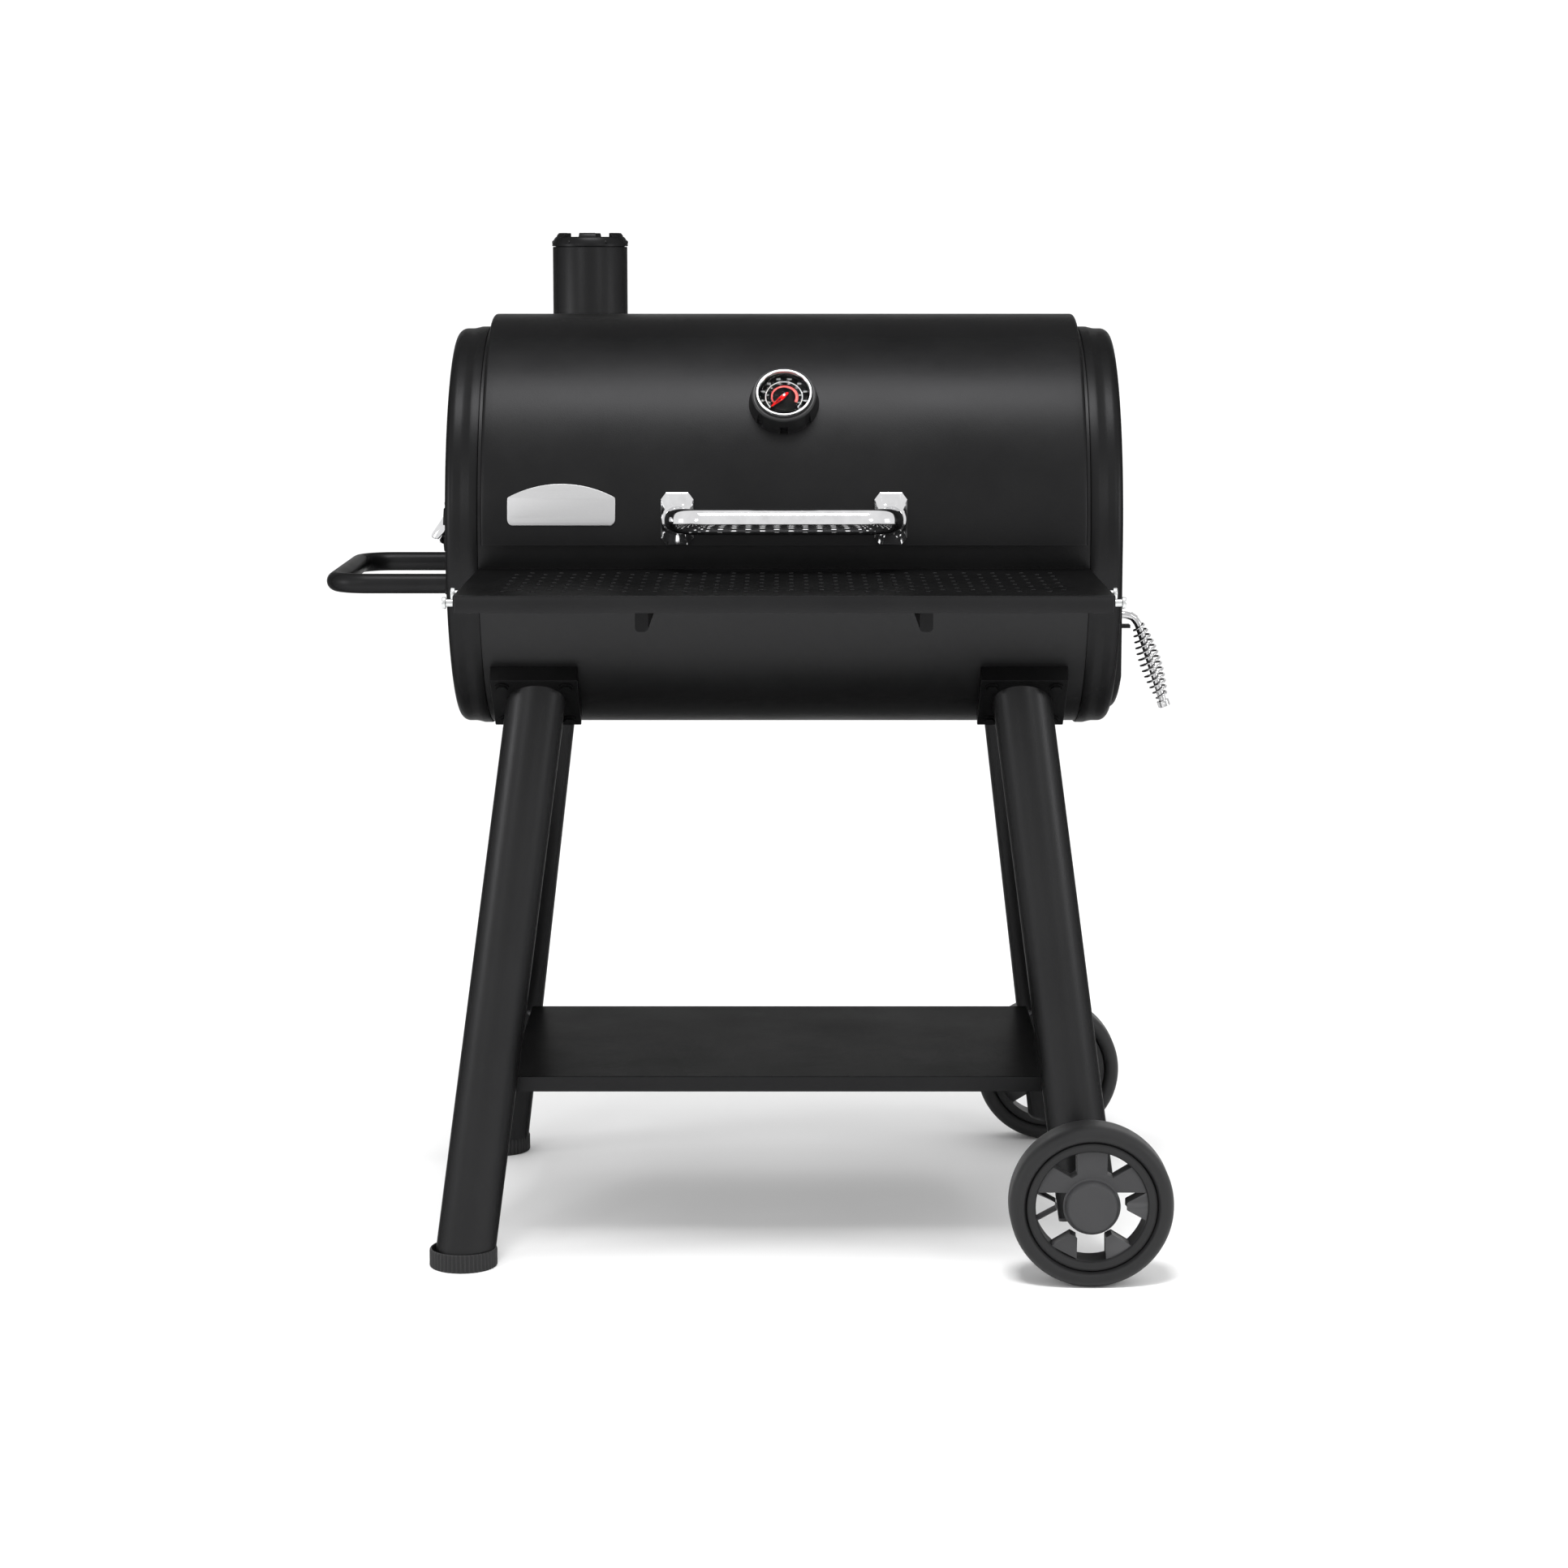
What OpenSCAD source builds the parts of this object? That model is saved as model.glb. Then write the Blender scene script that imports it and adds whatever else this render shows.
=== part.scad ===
// Barrel charcoal smoker on four splayed tube legs, two of them on wheels.
// Working frame: barrel axis along X above the floor, front towards -Y, Z up.
// All lengths are millimetres.

/* [Barrel] */
// Outer radius of the barrel shell
barrel_r = 259; // [250:0.5:262]
// Sheet thickness of shell, caps and lid
wall = 2.5; // [2:0.5:3]
// Half length of the shell up to the cap seams
barrel_half = 385; // [383:0.5:400]
// Height of the barrel axis above the floor
axis_z = 925.5; // [915:0.5:940]
// How far each dished cap stands beyond its seam
cap_depth = 42; // [38:0.5:46]
// Corner radius of the dished caps
cap_corner = 12; // [10:1:16]

/* [Lid] */
// Outer radius of the lid skin
lid_r = 278; // [276:0.5:279]
// Half width of the lid
lid_half = 380; // [375:0.5:381]
// Angle of the lid's front edge above the horizontal
lid_front_phi = -1; // [-2:0.5:1]
// Angle of the lid's rear edge
lid_rear_phi = 118; // [116:0.5:118]
// Distance of each lid hinge from the middle
hinge_x = 230; // [180:5:260]

/* [Lid fittings] */
// Half distance between the handle posts
handle_x = 133.4; // [110:0.2:150]
// Outside diameter of the lid handle tube
handle_d = 32; // [26:1:34]
// Angle of the thermometer on the lid
thermo_phi = 37.6; // [35:1:50]
// Outside diameter of the thermometer housing
thermo_d = 89; // [84:1:96]

/* [Chimney] */
// Outside diameter of the chimney pipe
chimney_d = 103.8; // [96:0.2:104]
// Sideways place of the chimney
chimney_x = -270; // [-275:1:-265]
// How far behind the barrel axis the chimney stands
chimney_y = 295; // [290:1:300]
// Height of the top of the chimney cap
top_z = 1310; // [1280:1:1340]

/* [Shelves] */
// Height of the front shelf
shelf_z = 889; // [885:0.5:892]
// Depth of the front shelf edge in front of the barrel axis
shelf_front = 616; // [590:1:640]
// Height of the bottom shelf
low_z = 228; // [215:1:245]

/* [Legs and wheels] */
// Outside diameter of the leg tubes
leg_d = 76.2; // [70:0.1:78]
// Outside diameter of the wheels
wheel_d = 206; // [195:1:206]
// Width of the tyres
tyre_w = 58; // [54:1:60]
// Diameter of the axle
axle_d = 14; // [12:1:16]

/* [Side handle] */
// Outside diameter of the side handle tube
side_d = 25.4; // [22:0.2:28]
// Distance of the side handle bar from the middle
side_x = 579; // [560:1:600]

/* [Hidden] */
$fn = 96;

black = [0.05, 0.05, 0.055];
steel = [0.78, 0.78, 0.8];
grey = [0.25, 0.25, 0.26];

inner_r = barrel_r - wall;
cap_x = barrel_half + cap_depth;
cap_flat_r = barrel_r - cap_corner;
hinge_phi = 121;
hinge_r = lid_r + 8;
handle_z = 954;
handle_y = -336;
handle_bend = 40;
pipe_r = chimney_d / 2;
elbow_z = 1000;
pipe_top = top_z - 19;
leg_r = leg_d / 2;
leg_top = [320, -168, axis_z - 217.4];
leg_foot = [410, -305, 0];
// How much nearer the middle the wheeled legs stand than the footed ones
right_shift = 12.5;
plate_phi = -52.5;
plate_r = 274;
axle_z = wheel_d / 2;
axle_x = 385;
wheel_y = 384;
// Door outline, measured from the barrel axis
door_r = 242;
door_top = -25;
door_front = -140;
door_rear = 195;
door_x = cap_x + 10;
door_axis = [door_x + 3, 200];
latch = [door_x, -90, axis_z - 110.5];
damper_z = axis_z - 4.5;
// Ends of the latch handle's grip
grip_a = [door_x + 24, -90, axis_z - 117];
grip_b = [door_x + 59.15, -90, axis_z - 222.5];
grip_dir = (grip_b - grip_a) / norm(grip_b - grip_a);
// Overall reach, which centres the model over its footprint
tip_x = grip_b[0] + 9 * grip_dir[0] + 8 * sqrt(1 - grip_dir[0] * grip_dir[0]);
ox = (side_x + side_d / 2 - tip_x) / 2;
oy = (shelf_front - wheel_y - 30.9) / 2;

module place() translate([ox, oy, 0]) children();
// Local XY becomes world YZ and local Z becomes world X
module on_axis(x0 = 0) translate([x0, 0, axis_z]) rotate([90, 0, 90]) children();
// Sheet bent about the barrel axis, angles measured up from the front
module arc(r0, r1, phi0, phi1, x0, x1)
    on_axis(x0) rotate([0, 0, 180 - phi1]) rotate_extrude(angle = phi1 - phi0) translate([r0, 0]) square([r1 - r0, x1 - x0]);
// Local Z points out from the barrel axis, local X along it
module at_phi(phi, r, x = 0)
    translate([x, -r * cos(phi), axis_z + r * sin(phi)]) rotate([90 - phi, 0, 0]) children();
module axis_cyl(r, x0, x1) on_axis(x0) cylinder(h = x1 - x0, r = r);
module rod(a, b, r, seam = 0)
    translate(a) rotate([0, acos((b - a)[2] / norm(b - a)), atan2((b - a)[1], (b - a)[0])]) rotate([0, 0, seam]) cylinder(h = norm(b - a), r = r);
module ring2(r, t) difference() { circle(r = r); circle(r = r - t); }
module cyl_y(r, y0, y1, x, z) translate([x, y1, z]) rotate([90, 0, 0]) cylinder(h = y1 - y0, r = r);
module box(x0, x1, y0, y1, z0, z1) translate([x0, y0, z0]) cube([x1 - x0, y1 - y0, z1 - z0]);
module both() { children(); mirror([1, 0, 0]) children(); }
module left_right() { translate([-right_shift, 0, 0]) children(); mirror([1, 0, 0]) children(); }

// ---- barrel ----
function cap_profile(o) = concat(
    [[0, cap_x + o], [cap_flat_r, cap_x + o]],
    [for (a = [80:-10:10]) [cap_flat_r + (cap_corner + o) * cos(a), cap_x - cap_corner + (cap_corner + o) * sin(a)]],
    [[barrel_r + o, cap_x - cap_corner]]);
module cap_sheet() on_axis(0) rotate_extrude() polygon(concat(
    cap_profile(0),
    [[barrel_r, barrel_half + 10], [barrel_r + wall, barrel_half + 8], [barrel_r + wall, barrel_half],
     [barrel_r + 0.1, barrel_half], [barrel_r + 0.1, barrel_half + 7], [barrel_r - wall, barrel_half + 9]],
    [for (i = [len(cap_profile(0)) - 1:-1:0]) [max(0, cap_profile(0)[i][0] == 0 ? 0 : cap_profile(-wall)[i][0]), cap_profile(-wall)[i][1]]]));
module sector_holes(n, r0, r1, half) for (i = [0:n - 1]) rotate([0, 0, i * 360 / n - half])
    rotate_extrude(angle = 2 * half) translate([r0, 0]) square([r1 - r0, 20]);

module barrel_shell() color(black) difference() {
    on_axis(-barrel_half - 6.9) difference() {
        cylinder(h = 2 * barrel_half + 13.8, r = barrel_r);
        translate([0, 0, -1]) cylinder(h = 2 * barrel_half + 15.8, r = inner_r);
    }
    arc(inner_r - 20, barrel_r + 20, 8, 112, -barrel_half + 23, barrel_half - 23);
    cyl_y(pipe_r - 2.8, 150, 300, chimney_x, elbow_z);
}
module left_end_cap() color(black) difference() {
    mirror([1, 0, 0]) cap_sheet();
    translate([-cap_x - 5, 0, damper_z]) rotate([90, 0, 90]) {
        sector_holes(4, 13, 34, 21);
        cylinder(h = 20, r = 4.1);
    }
}
module door_outline(o) intersection() {
    circle(r = door_r + o);
    translate([door_front - o, -400]) square([door_rear - door_front + 2 * o, 400 + door_top + o]);
}
module right_end_cap() color(black) difference() {
    cap_sheet();
    on_axis(cap_x - 10) linear_extrude(20) intersection() {
        circle(r = 229);
        translate([-125, -400]) square([303, 355]);
    }
}
// ---- inside the barrel ----
module rail(y0, y1, z1, h) for (s = [-1, 1]) scale_y(s) difference() {
    intersection() {
        box(-370, 370, y0, y1, axis_z + z1 - h, axis_z + z1);
        axis_cyl(inner_r - 0.1, -371, 371);
    }
    box(-371, 371, y0 - 1, y1 - 12, axis_z + z1 - h - 1, axis_z + z1 - 3);
}
module scale_y(s) { if (s > 0) children(); else mirror([0, 1, 0]) children(); }
module grate_rails() color(grey) rail(200, 252, -26, 3);
module charcoal_rails() color(grey) rail(158, 204, -156, 3);
module ash_pan_runners() color(grey) for (s = [-1, 1]) intersection() {
    box(-310, 310, s * 70 - 4, s * 70 + 4, axis_z - 260, axis_z - 204);
    axis_cyl(inner_r - 0.1, -311, 311);
}
module grate(x0, x1, y, z, pitch, r, rb) {
    n = floor((x1 - x0 - 2 * r) / pitch);
    step = (x1 - x0 - 2 * r) / n;
    for (s = [-1, 1]) rod([x0, s * y, z], [x1, s * y, z], r);
    for (i = [0:n]) rod([x0 + r + i * step, -y, z], [x0 + r + i * step, y, z], i == 0 || i == n ? r : rb);
}
module cooking_grate_left() color(grey) grate(-368, -3, 205, axis_z - 21.7, 20, 4, 2.8);
module cooking_grate_right() color(grey) grate(3, 368, 205, axis_z - 21.7, 20, 4, 2.8);
module charcoal_grate() color(grey) grate(-300, 300, 164, axis_z - 150.7, 27, 5, 4);
module ash_pan() color(grey) difference() {
    box(-300, 300, -92, 92, axis_z - 203.7, axis_z - 179);
    box(-298, 298, -90, 90, axis_z - 201.7, axis_z - 178);
}
// ---- lid ----
module lid() color(black) difference() {
    // One bent channel: the skin with both side edges turned in
    on_axis(0) rotate([0, 0, 180 - lid_rear_phi]) rotate_extrude(angle = lid_rear_phi - lid_front_phi) polygon([
        [lid_r - wall, wall - lid_half], [barrel_r + 1.5, wall - lid_half], [barrel_r + 1.5, -lid_half], [lid_r, -lid_half],
        [lid_r, lid_half], [barrel_r + 1.5, lid_half], [barrel_r + 1.5, lid_half - wall], [lid_r - wall, lid_half - wall]]);
    at_phi(thermo_phi, 0) cylinder(h = 300, r = 4.3);
}
module lid_hinge_leaves() color(black) for (s = [-1, 1]) difference() {
    union() {
        arc(lid_r + 0.1, lid_r + 2.6, 104, 117.4, s * hinge_x - 28, s * hinge_x + 28);
        arc(lid_r + 0.6, lid_r + 2.2, 112, 120.4, s * hinge_x - 14.7, s * hinge_x + 14.7);
        at_phi(hinge_phi, hinge_r, s * hinge_x - 14.7) rotate([0, 90, 0]) cylinder(h = 29.4, r = 8);
    }
    at_phi(hinge_phi, hinge_r, s * hinge_x - 40) rotate([0, 90, 0]) cylinder(h = 80, r = 4.06);
}
module lid_hinge_bases() color(black) for (s = [-1, 1]) difference() {
    union() {
        arc(barrel_r + 0.1, barrel_r + 2.6, 119.5, 136, s * hinge_x - 31, s * hinge_x + 31);
        for (k = [-30, 15.1]) {
            at_phi(hinge_phi, hinge_r, s * hinge_x + k) rotate([0, 90, 0]) cylinder(h = 14.9, r = 8);
            at_phi(hinge_phi, barrel_r + 1.2, s * hinge_x + k + 0.5) translate([0, -3, 0]) cube([13.9, 8, hinge_r - barrel_r - 6.5]);
        }
    }
    at_phi(hinge_phi, hinge_r, s * hinge_x - 40) rotate([0, 90, 0]) cylinder(h = 80, r = 4.06);
}
module lid_hinge_pins() color(steel) for (s = [-1, 1]) at_phi(hinge_phi, hinge_r, s * hinge_x) rotate([0, 90, 0]) {
    translate([0, 0, -31]) cylinder(h = 62, r = 4);
    for (k = [-33.2, 30.2]) translate([0, 0, k]) cylinder(h = 3, r = 6.5);
}
module lid_handle() color(steel) {
    translate([-handle_x + handle_bend, handle_y, handle_z]) rotate([90, 0, 90]) linear_extrude(2 * (handle_x - handle_bend)) ring2(handle_d / 2, 1.6);
    both() translate([handle_x - handle_bend, handle_y + handle_bend, handle_z]) rotate([0, 0, -90]) rotate_extrude(angle = 90) translate([handle_bend, 0]) ring2(handle_d / 2, 1.6);
}
module lid_handle_posts() color(steel) both() translate([handle_x, 0, handle_z]) difference() {
    rotate([90, 0, 0]) {
        linear_extrude(285) polygon([[-20.5, -24], [-12, -33], [12, -33], [20.5, -24], [20.5, 24], [12, 33], [-12, 33], [-20.5, 24]]);
        translate([0, 0, 284]) cylinder(h = 8, r = 15);
        translate([0, 0, 291]) cylinder(h = 5, r = 19);
    }
    translate([-handle_x, 0, -handle_z]) axis_cyl(lid_r + 0.1, -400, 400);
}
module thermometer_housing() color(black) difference() {
    at_phi(thermo_phi, lid_r - 8) cylinder(h = 30, r1 = thermo_d / 2 + 1.4, r2 = 39.5);
    axis_cyl(lid_r + 0.1, -100, 100);
    at_phi(thermo_phi, lid_r + 9) cylinder(h = 20, r = 37.3);
    at_phi(thermo_phi, lid_r - 10) cylinder(h = 30, r = 4.3);
}
module thermometer_dial() color(black) at_phi(thermo_phi, lid_r + 9.1) difference() {
    cylinder(h = 5, r = 37.1);
    translate([0, 0, -1]) cylinder(h = 7, r = 1.8);
}
module thermometer_bezel() color(steel) at_phi(thermo_phi, lid_r + 14.2) rotate_extrude()
    polygon([[33.4, 0], [37.1, 0], [37.1, 9], [35.6, 10.5], [34.2, 10.5], [33.4, 9]]);
module thermometer_glass() color([0.8, 0.85, 0.9, 0.4]) at_phi(thermo_phi, lid_r + 21) cylinder(h = 1.6, r = 33.3);
module thermometer_probe() color(steel) at_phi(thermo_phi, lid_r) {
    translate([0, 0, -90]) cylinder(h = 99, r = 4);
    translate([0, 0, 8.5]) cylinder(h = 10.5, r = 1.2);
    translate([0, 0, -8.5]) cylinder(h = 5.5, r = 8, $fn = 6);
}
module thermometer_needle() color("red") at_phi(thermo_phi, lid_r + 15.4) rotate([0, 0, 225]) difference() {
    union() {
        cylinder(h = 2, r = 3.4);
        linear_extrude(1) polygon([[-9, -1.6], [4, -2.2], [27, -0.5], [27, 0.5], [4, 2.2], [-9, 1.6]]);
    }
    translate([0, 0, -1]) cylinder(h = 4, r = 1.26);
}
module badge_plate() color(steel) intersection() {
    arc(lid_r + 0.1, lid_r + 2, 2, 17, -278.5 - 67.5, -278.5 + 67.5);
    translate([-278.5, -200, axis_z + 45]) rotate([90, 0, 0]) linear_extrude(100) intersection() {
        union() {
            translate([0, 2.3]) square([119, 55.4], center = true);
            translate([0, 2.3]) square([135, 39.4], center = true);
            for (x = [-59.5, 59.5], y = [-17.4, 22]) translate([x, y]) circle(r = 8);
        }
        translate([0, -113]) circle(r = 140);
    }
}
// ---- chimney ----
module chimney_elbow() color(black) difference() {
    union() {
        cyl_y(pipe_r, 200, chimney_y, chimney_x, elbow_z);
        translate([chimney_x, chimney_y, elbow_z]) sphere(r = pipe_r);
        translate([chimney_x, chimney_y, elbow_z]) cylinder(h = 50, r = pipe_r);
        translate([chimney_x, chimney_y, elbow_z + 38]) cylinder(h = 24, r = pipe_r + 2.5);
        intersection() {
            on_axis(chimney_x - 75) cylinder(h = 150, r = barrel_r + 3);
            cyl_y(70, 150, 300, chimney_x, elbow_z);
        }
    }
    axis_cyl(barrel_r + 0.1, -400, 400);
    cyl_y(pipe_r - 2, 199, chimney_y, chimney_x, elbow_z);
    translate([chimney_x, chimney_y, elbow_z]) sphere(r = pipe_r - 2);
    translate([chimney_x, chimney_y, elbow_z]) cylinder(h = 70, r = pipe_r - 2);
    translate([chimney_x, chimney_y, elbow_z + 50]) cylinder(h = 20, r = pipe_r + 0.1);
}
module chimney_pipe() color(black) translate([chimney_x, chimney_y, elbow_z + 50.1]) difference() {
    cylinder(h = pipe_top - elbow_z - 50.1, r = pipe_r);
    translate([0, 0, -1]) cylinder(h = pipe_top - elbow_z, r = pipe_r - 2);
}
module chimney_valve_plate() color(black) translate([chimney_x, chimney_y, pipe_top - 9]) difference() {
    cylinder(h = 2.5, r = pipe_r - 2.1);
    translate([0, 0, -5]) sector_holes(4, 12, 42, 21);
    translate([0, 0, -1]) cylinder(h = 5, r = 3.1);
}
module chimney_pivot() color(steel) translate([chimney_x, chimney_y, pipe_top]) {
    translate([0, 0, -16]) cylinder(h = 22, r = 3);
    translate([0, 0, -15]) cylinder(h = 5.8, r = 6, $fn = 6);
    translate([0, 0, 4.5]) cylinder(h = 3, r = 6.5);
}
module chimney_cap() color(black) translate([chimney_x, chimney_y, pipe_top]) difference() {
    rotate_extrude() polygon([[0, 1.5], [44, 1.5], [44, -5], [48.3, -5], [48.3, 0.6], [pipe_r + 1, 0.6], [pipe_r + 1, 3.5],
        [pipe_r + 0.4, 6.5], [pipe_r - 1, 9.8], [pipe_r - 3, 12.6], [47, 13.2], [43.2, 19], [39, 19], [39, 4], [0, 4]]);
    translate([0, 0, -6]) sector_holes(4, 12, 36, 21);
    translate([0, 0, -1]) cylinder(h = 6, r = 3.06);
    for (i = [0:5]) rotate([0, 0, i * 60]) translate([6, -11.4, 13.8]) cube([60, 22.8, 10]);
}
// ---- front shelf ----
module front_shelf() color(black) difference() {
    box(-barrel_half, barrel_half, -shelf_front, -257.5, shelf_z - 20, shelf_z);
    box(-barrel_half + 2, barrel_half - 2, -shelf_front + 2, -250, shelf_z - 21, shelf_z - 2);
    axis_cyl(barrel_r + 0.1, -400, 400);
}
module shelf_brackets() color(black) for (s = [-1, 1]) difference() {
    translate([s * 170, -500, 0]) rotate([-90, 0, 0]) linear_extrude(300) translate([0, -shelf_z + 2.1]) union() {
        translate([-8, 0]) square([16, 46.9]);
        translate([-3, 0]) square([6, 51.9]);
        for (k = [-3, 3]) translate([k, 46.9]) circle(r = 5);
    }
    translate([s * 170, -497.5, 0]) rotate([-90, 0, 0]) linear_extrude(300) translate([-6, -shelf_z - 1]) square([12, 48]);
    axis_cyl(barrel_r + 0.1, -400, 400);
}
module tool_hooks() color(steel) both() for (y = [-595, -480]) on_axis_at(y, shelf_z - 10) {
    translate([0, 0, barrel_half + 0.1]) cylinder(h = 9, r = 4.3);
    translate([0, 0, barrel_half + 9]) cylinder(h = 5, r = 7);
}
module on_axis_at(y, z) translate([0, y, z]) rotate([90, 0, 90]) children();
// ---- side handle and damper on the left cap ----
module side_handle() color(black) translate([0, 0, axis_z - 62.5]) {
    for (s = [-1, 1]) {
        translate([-side_x + 45, s * 170, 0]) rotate([90, 0, 90]) linear_extrude(side_x - 45 - cap_x - 4.2) ring2(side_d / 2, 2);
        translate([-side_x + 45, s * 125, 0]) rotate([0, 0, s > 0 ? 90 : 180]) rotate_extrude(angle = 90) translate([45, 0]) ring2(side_d / 2, 2);
    }
    translate([-side_x, 125, 0]) rotate([90, 0, 0]) linear_extrude(250) ring2(side_d / 2, 2);
}
module side_handle_flanges() color(black) for (s = [-1, 1]) on_axis_at(s * 170, axis_z - 62.5)
    translate([0, 0, -cap_x - 4.1]) cylinder(h = 4, r = 24);
module damper_cap() color(black) translate([-cap_x, 0, damper_z]) rotate([90, 0, -90]) difference() {
    rotate_extrude() polygon([[0, 0.5], [41, 0.5], [41, 17], [37, 22], [33, 22], [33, 4], [0, 4]]);
    translate([0, 0, -5]) sector_holes(4, 13, 31, 21);
    translate([0, 0, -1]) cylinder(h = 10, r = 4.06);
    for (i = [0:5]) rotate([0, 0, i * 60]) translate([6, -7, 17.6]) cube([60, 14, 10]);
}
module damper_knob() color(steel) {
    translate([-cap_x - 4.1, 0, damper_z]) rotate([0, -90, 0]) difference() {
        cylinder(h = 11.5, r = 10);
        translate([0, 0, -1]) cylinder(h = 5, r = 6.2);
    }
    difference() {
        rod([-cap_x - 4, 0, damper_z + 27.4], [-cap_x - 34, 0, damper_z - 17.1], 11);
        translate([-cap_x - 15, -50, damper_z - 50]) cube([100, 100, 150]);
    }
}
module damper_pivot() color(steel) translate([-cap_x, 0, damper_z]) rotate([90, 0, -90]) {
    translate([0, 0, -9]) cylinder(h = 15, r = 4);
    translate([0, 0, -8.5]) cylinder(h = 5.9, r = 8, $fn = 6);
    translate([0, 0, 4.3]) cylinder(h = 3, r = 5.8);
}
// ---- access door on the right cap ----
// Outer form of the door: flat face with a rounded rim, cut to its outline
module door_form(o) intersection() {
    on_axis(cap_x - 14 + o) linear_extrude(24) door_outline(o);
    on_axis(0) rotate_extrude() polygon(concat([[0, door_x + o], [door_r - 10, door_x + o]],
        [for (a = [75:-15:0]) [door_r - 10 + (10 + o) * cos(a), door_x - 10 + (10 + o) * sin(a)]],
        [[door_r + o, cap_x - 30], [0, cap_x - 30]]));
}
module access_door() color(black) difference() {
    difference() {
        door_form(0);
        door_form(-2.5);
    }
    on_axis(0) rotate_extrude() polygon(concat([[0, 300]], cap_profile(0.4), [[barrel_r + 0.4, 300]]));
    rotate_latch() translate([0, 0, -8]) cylinder(h = 20, r = 5.1);
}
module rotate_latch() translate(latch) rotate([90, 0, 90]) children();
door_hinge_z = [axis_z - 40, axis_z - 90];
module door_hinge_leaves() color(black) for (z = door_hinge_z) difference() {
    union() {
        box(door_x + 0.1, door_x + 2.3, 160, door_axis[1], z - 7, z + 7);
        translate([door_axis[0], door_axis[1], z - 7]) cylinder(h = 14, r = 4.5);
    }
    translate([door_axis[0], door_axis[1], z - 20]) cylinder(h = 40, r = 2.56);
}
module door_hinge_bases() color(black) for (z = door_hinge_z) difference() {
    union() {
        box(cap_x + 0.1, cap_x + 2.1, 198, 209, z - 15, z + 15);
        for (k = [-15, 7.3]) {
            translate([door_axis[0], door_axis[1], z + k]) cylinder(h = 7.7, r = 4.5);
            box(cap_x + 1, door_axis[0], 200, 204.5, z + k, z + k + 7.7);
        }
    }
    translate([door_axis[0], door_axis[1], z - 20]) cylinder(h = 40, r = 2.56);
}
module door_hinge_pins() color(steel) for (z = door_hinge_z) translate([door_axis[0], door_axis[1], z]) {
    translate([0, 0, -16]) cylinder(h = 32, r = 2.5);
    for (k = [-17.2, 15.2]) translate([0, 0, k]) cylinder(h = 2, r = 4);
}
module door_latch_handle() color(steel) {
    rod(latch - [5, 0, 0], latch + [14, 0, 0], 5);
    rod(latch + [-5, 0, 0], latch + [-3, 0, 0], 9);
    translate(latch + [14, 0, 0]) sphere(r = 5.6);
    rod(latch + [14, 0, 0], grip_a, 5);
    translate(grip_a) sphere(r = 5.6);
    rod(grip_a, grip_b, 4.8);
    rod(grip_b - 0.1 * grip_dir, grip_b + 9 * grip_dir, 8);
    box(door_x + 1, door_x + 4, -156, -84, latch[2] - 5.5, latch[2] + 5.5);
}
module door_handle_grip() color(steel) translate(grip_a)
    rotate([0, acos(grip_dir[2]), 0]) rotate_extrude() polygon(concat(
        [[4.9, 6.5]], [for (t = [0:0.1:1]) [7 + 8 * sin(180 * t), 6.5 + t * (norm(grip_b - grip_a) - 7.5)]], [[4.9, norm(grip_b - grip_a) - 1]]));
module door_catch() color(black) {
    box(cap_x + 0.1, cap_x + 2.1, -161, -142.5, latch[2] - 16, latch[2] + 14);
    box(cap_x + 1, door_x + 9, -161, -143, latch[2] - 10.5, latch[2] - 6.3);
}
// ---- stand ----
module front_rear() { children(); mirror([0, 1, 0]) children(); }
module leg_brackets() color(black) left_right() front_rear() difference() {
    at_phi(plate_phi, 0, 320) translate([-56, -56, 235]) cube([112, 112, plate_r - 235]);
    at_phi(plate_phi, 0, 320) translate([-53.5, -53.5, 230]) cube([107, 107, plate_r - 232.5]);
    axis_cyl(barrel_r + 0.1, 200, 500);
}
module leg_bracket_bolts() color(black) left_right() front_rear() at_phi(plate_phi, plate_r + 0.1, 320)
    for (x = [-41, 41], y = [-41, 41]) translate([x, y, 0]) { cylinder(h = 5, r = 7.5, $fn = 6); cylinder(h = 1.6, r = 9); }
function leg_at(z) = leg_foot + (leg_top - leg_foot) * z / leg_top[2];
module leg_solid(z0, r) difference() {
    rod(leg_at(z0), leg_at(leg_top[2] + 70), r, 38);
    at_phi(plate_phi, 0, 320) translate([-200, -200, 100]) cube([400, 400, plate_r - 99.9]);
}
module leg(z0) difference() {
    leg_solid(z0, leg_r);
    leg_solid(z0 - 20, leg_r - 2.5);
    children();
}
module floor_cut(z) translate([250, -450, z - 150]) cube([300, 300, 150]);
module leg_front_left() color(black) mirror([1, 0, 0]) leg(-20) floor_cut(4.2);
module leg_rear_left() color(black) mirror([1, 0, 0]) mirror([0, 1, 0]) leg(-20) floor_cut(4.2);
module leg_front_right() color(black) translate([-right_shift, 0, 0]) leg(64) translate([right_shift, 0, 0]) cyl_y(axle_d / 2 + 0.1, -500, -100, axle_x, axle_z);
module leg_rear_right() color(black) mirror([0, 1, 0]) translate([-right_shift, 0, 0]) leg(64) translate([right_shift, 0, 0]) cyl_y(axle_d / 2 + 0.1, -500, -100, axle_x, axle_z);
module leg_feet() color(black) mirror([1, 0, 0]) front_rear() difference() {
    translate([leg_at(12)[0], leg_at(12)[1], 0]) cylinder(h = 24, r = 43.5);
    difference() { leg_solid(-30, leg_r + 0.15); floor_cut(4); }
}
module leg_end_caps() color(black) front_rear() translate([-right_shift, 0, 0]) rod(leg_at(60), leg_at(63.9), leg_r);
module bottom_shelf() color(black) difference() {
    box(-356, 356 - right_shift, -222, 222, low_z - 20, low_z);
    box(-354, 354 - right_shift, -220, 220, low_z - 21, low_z - 2);
}
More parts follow.
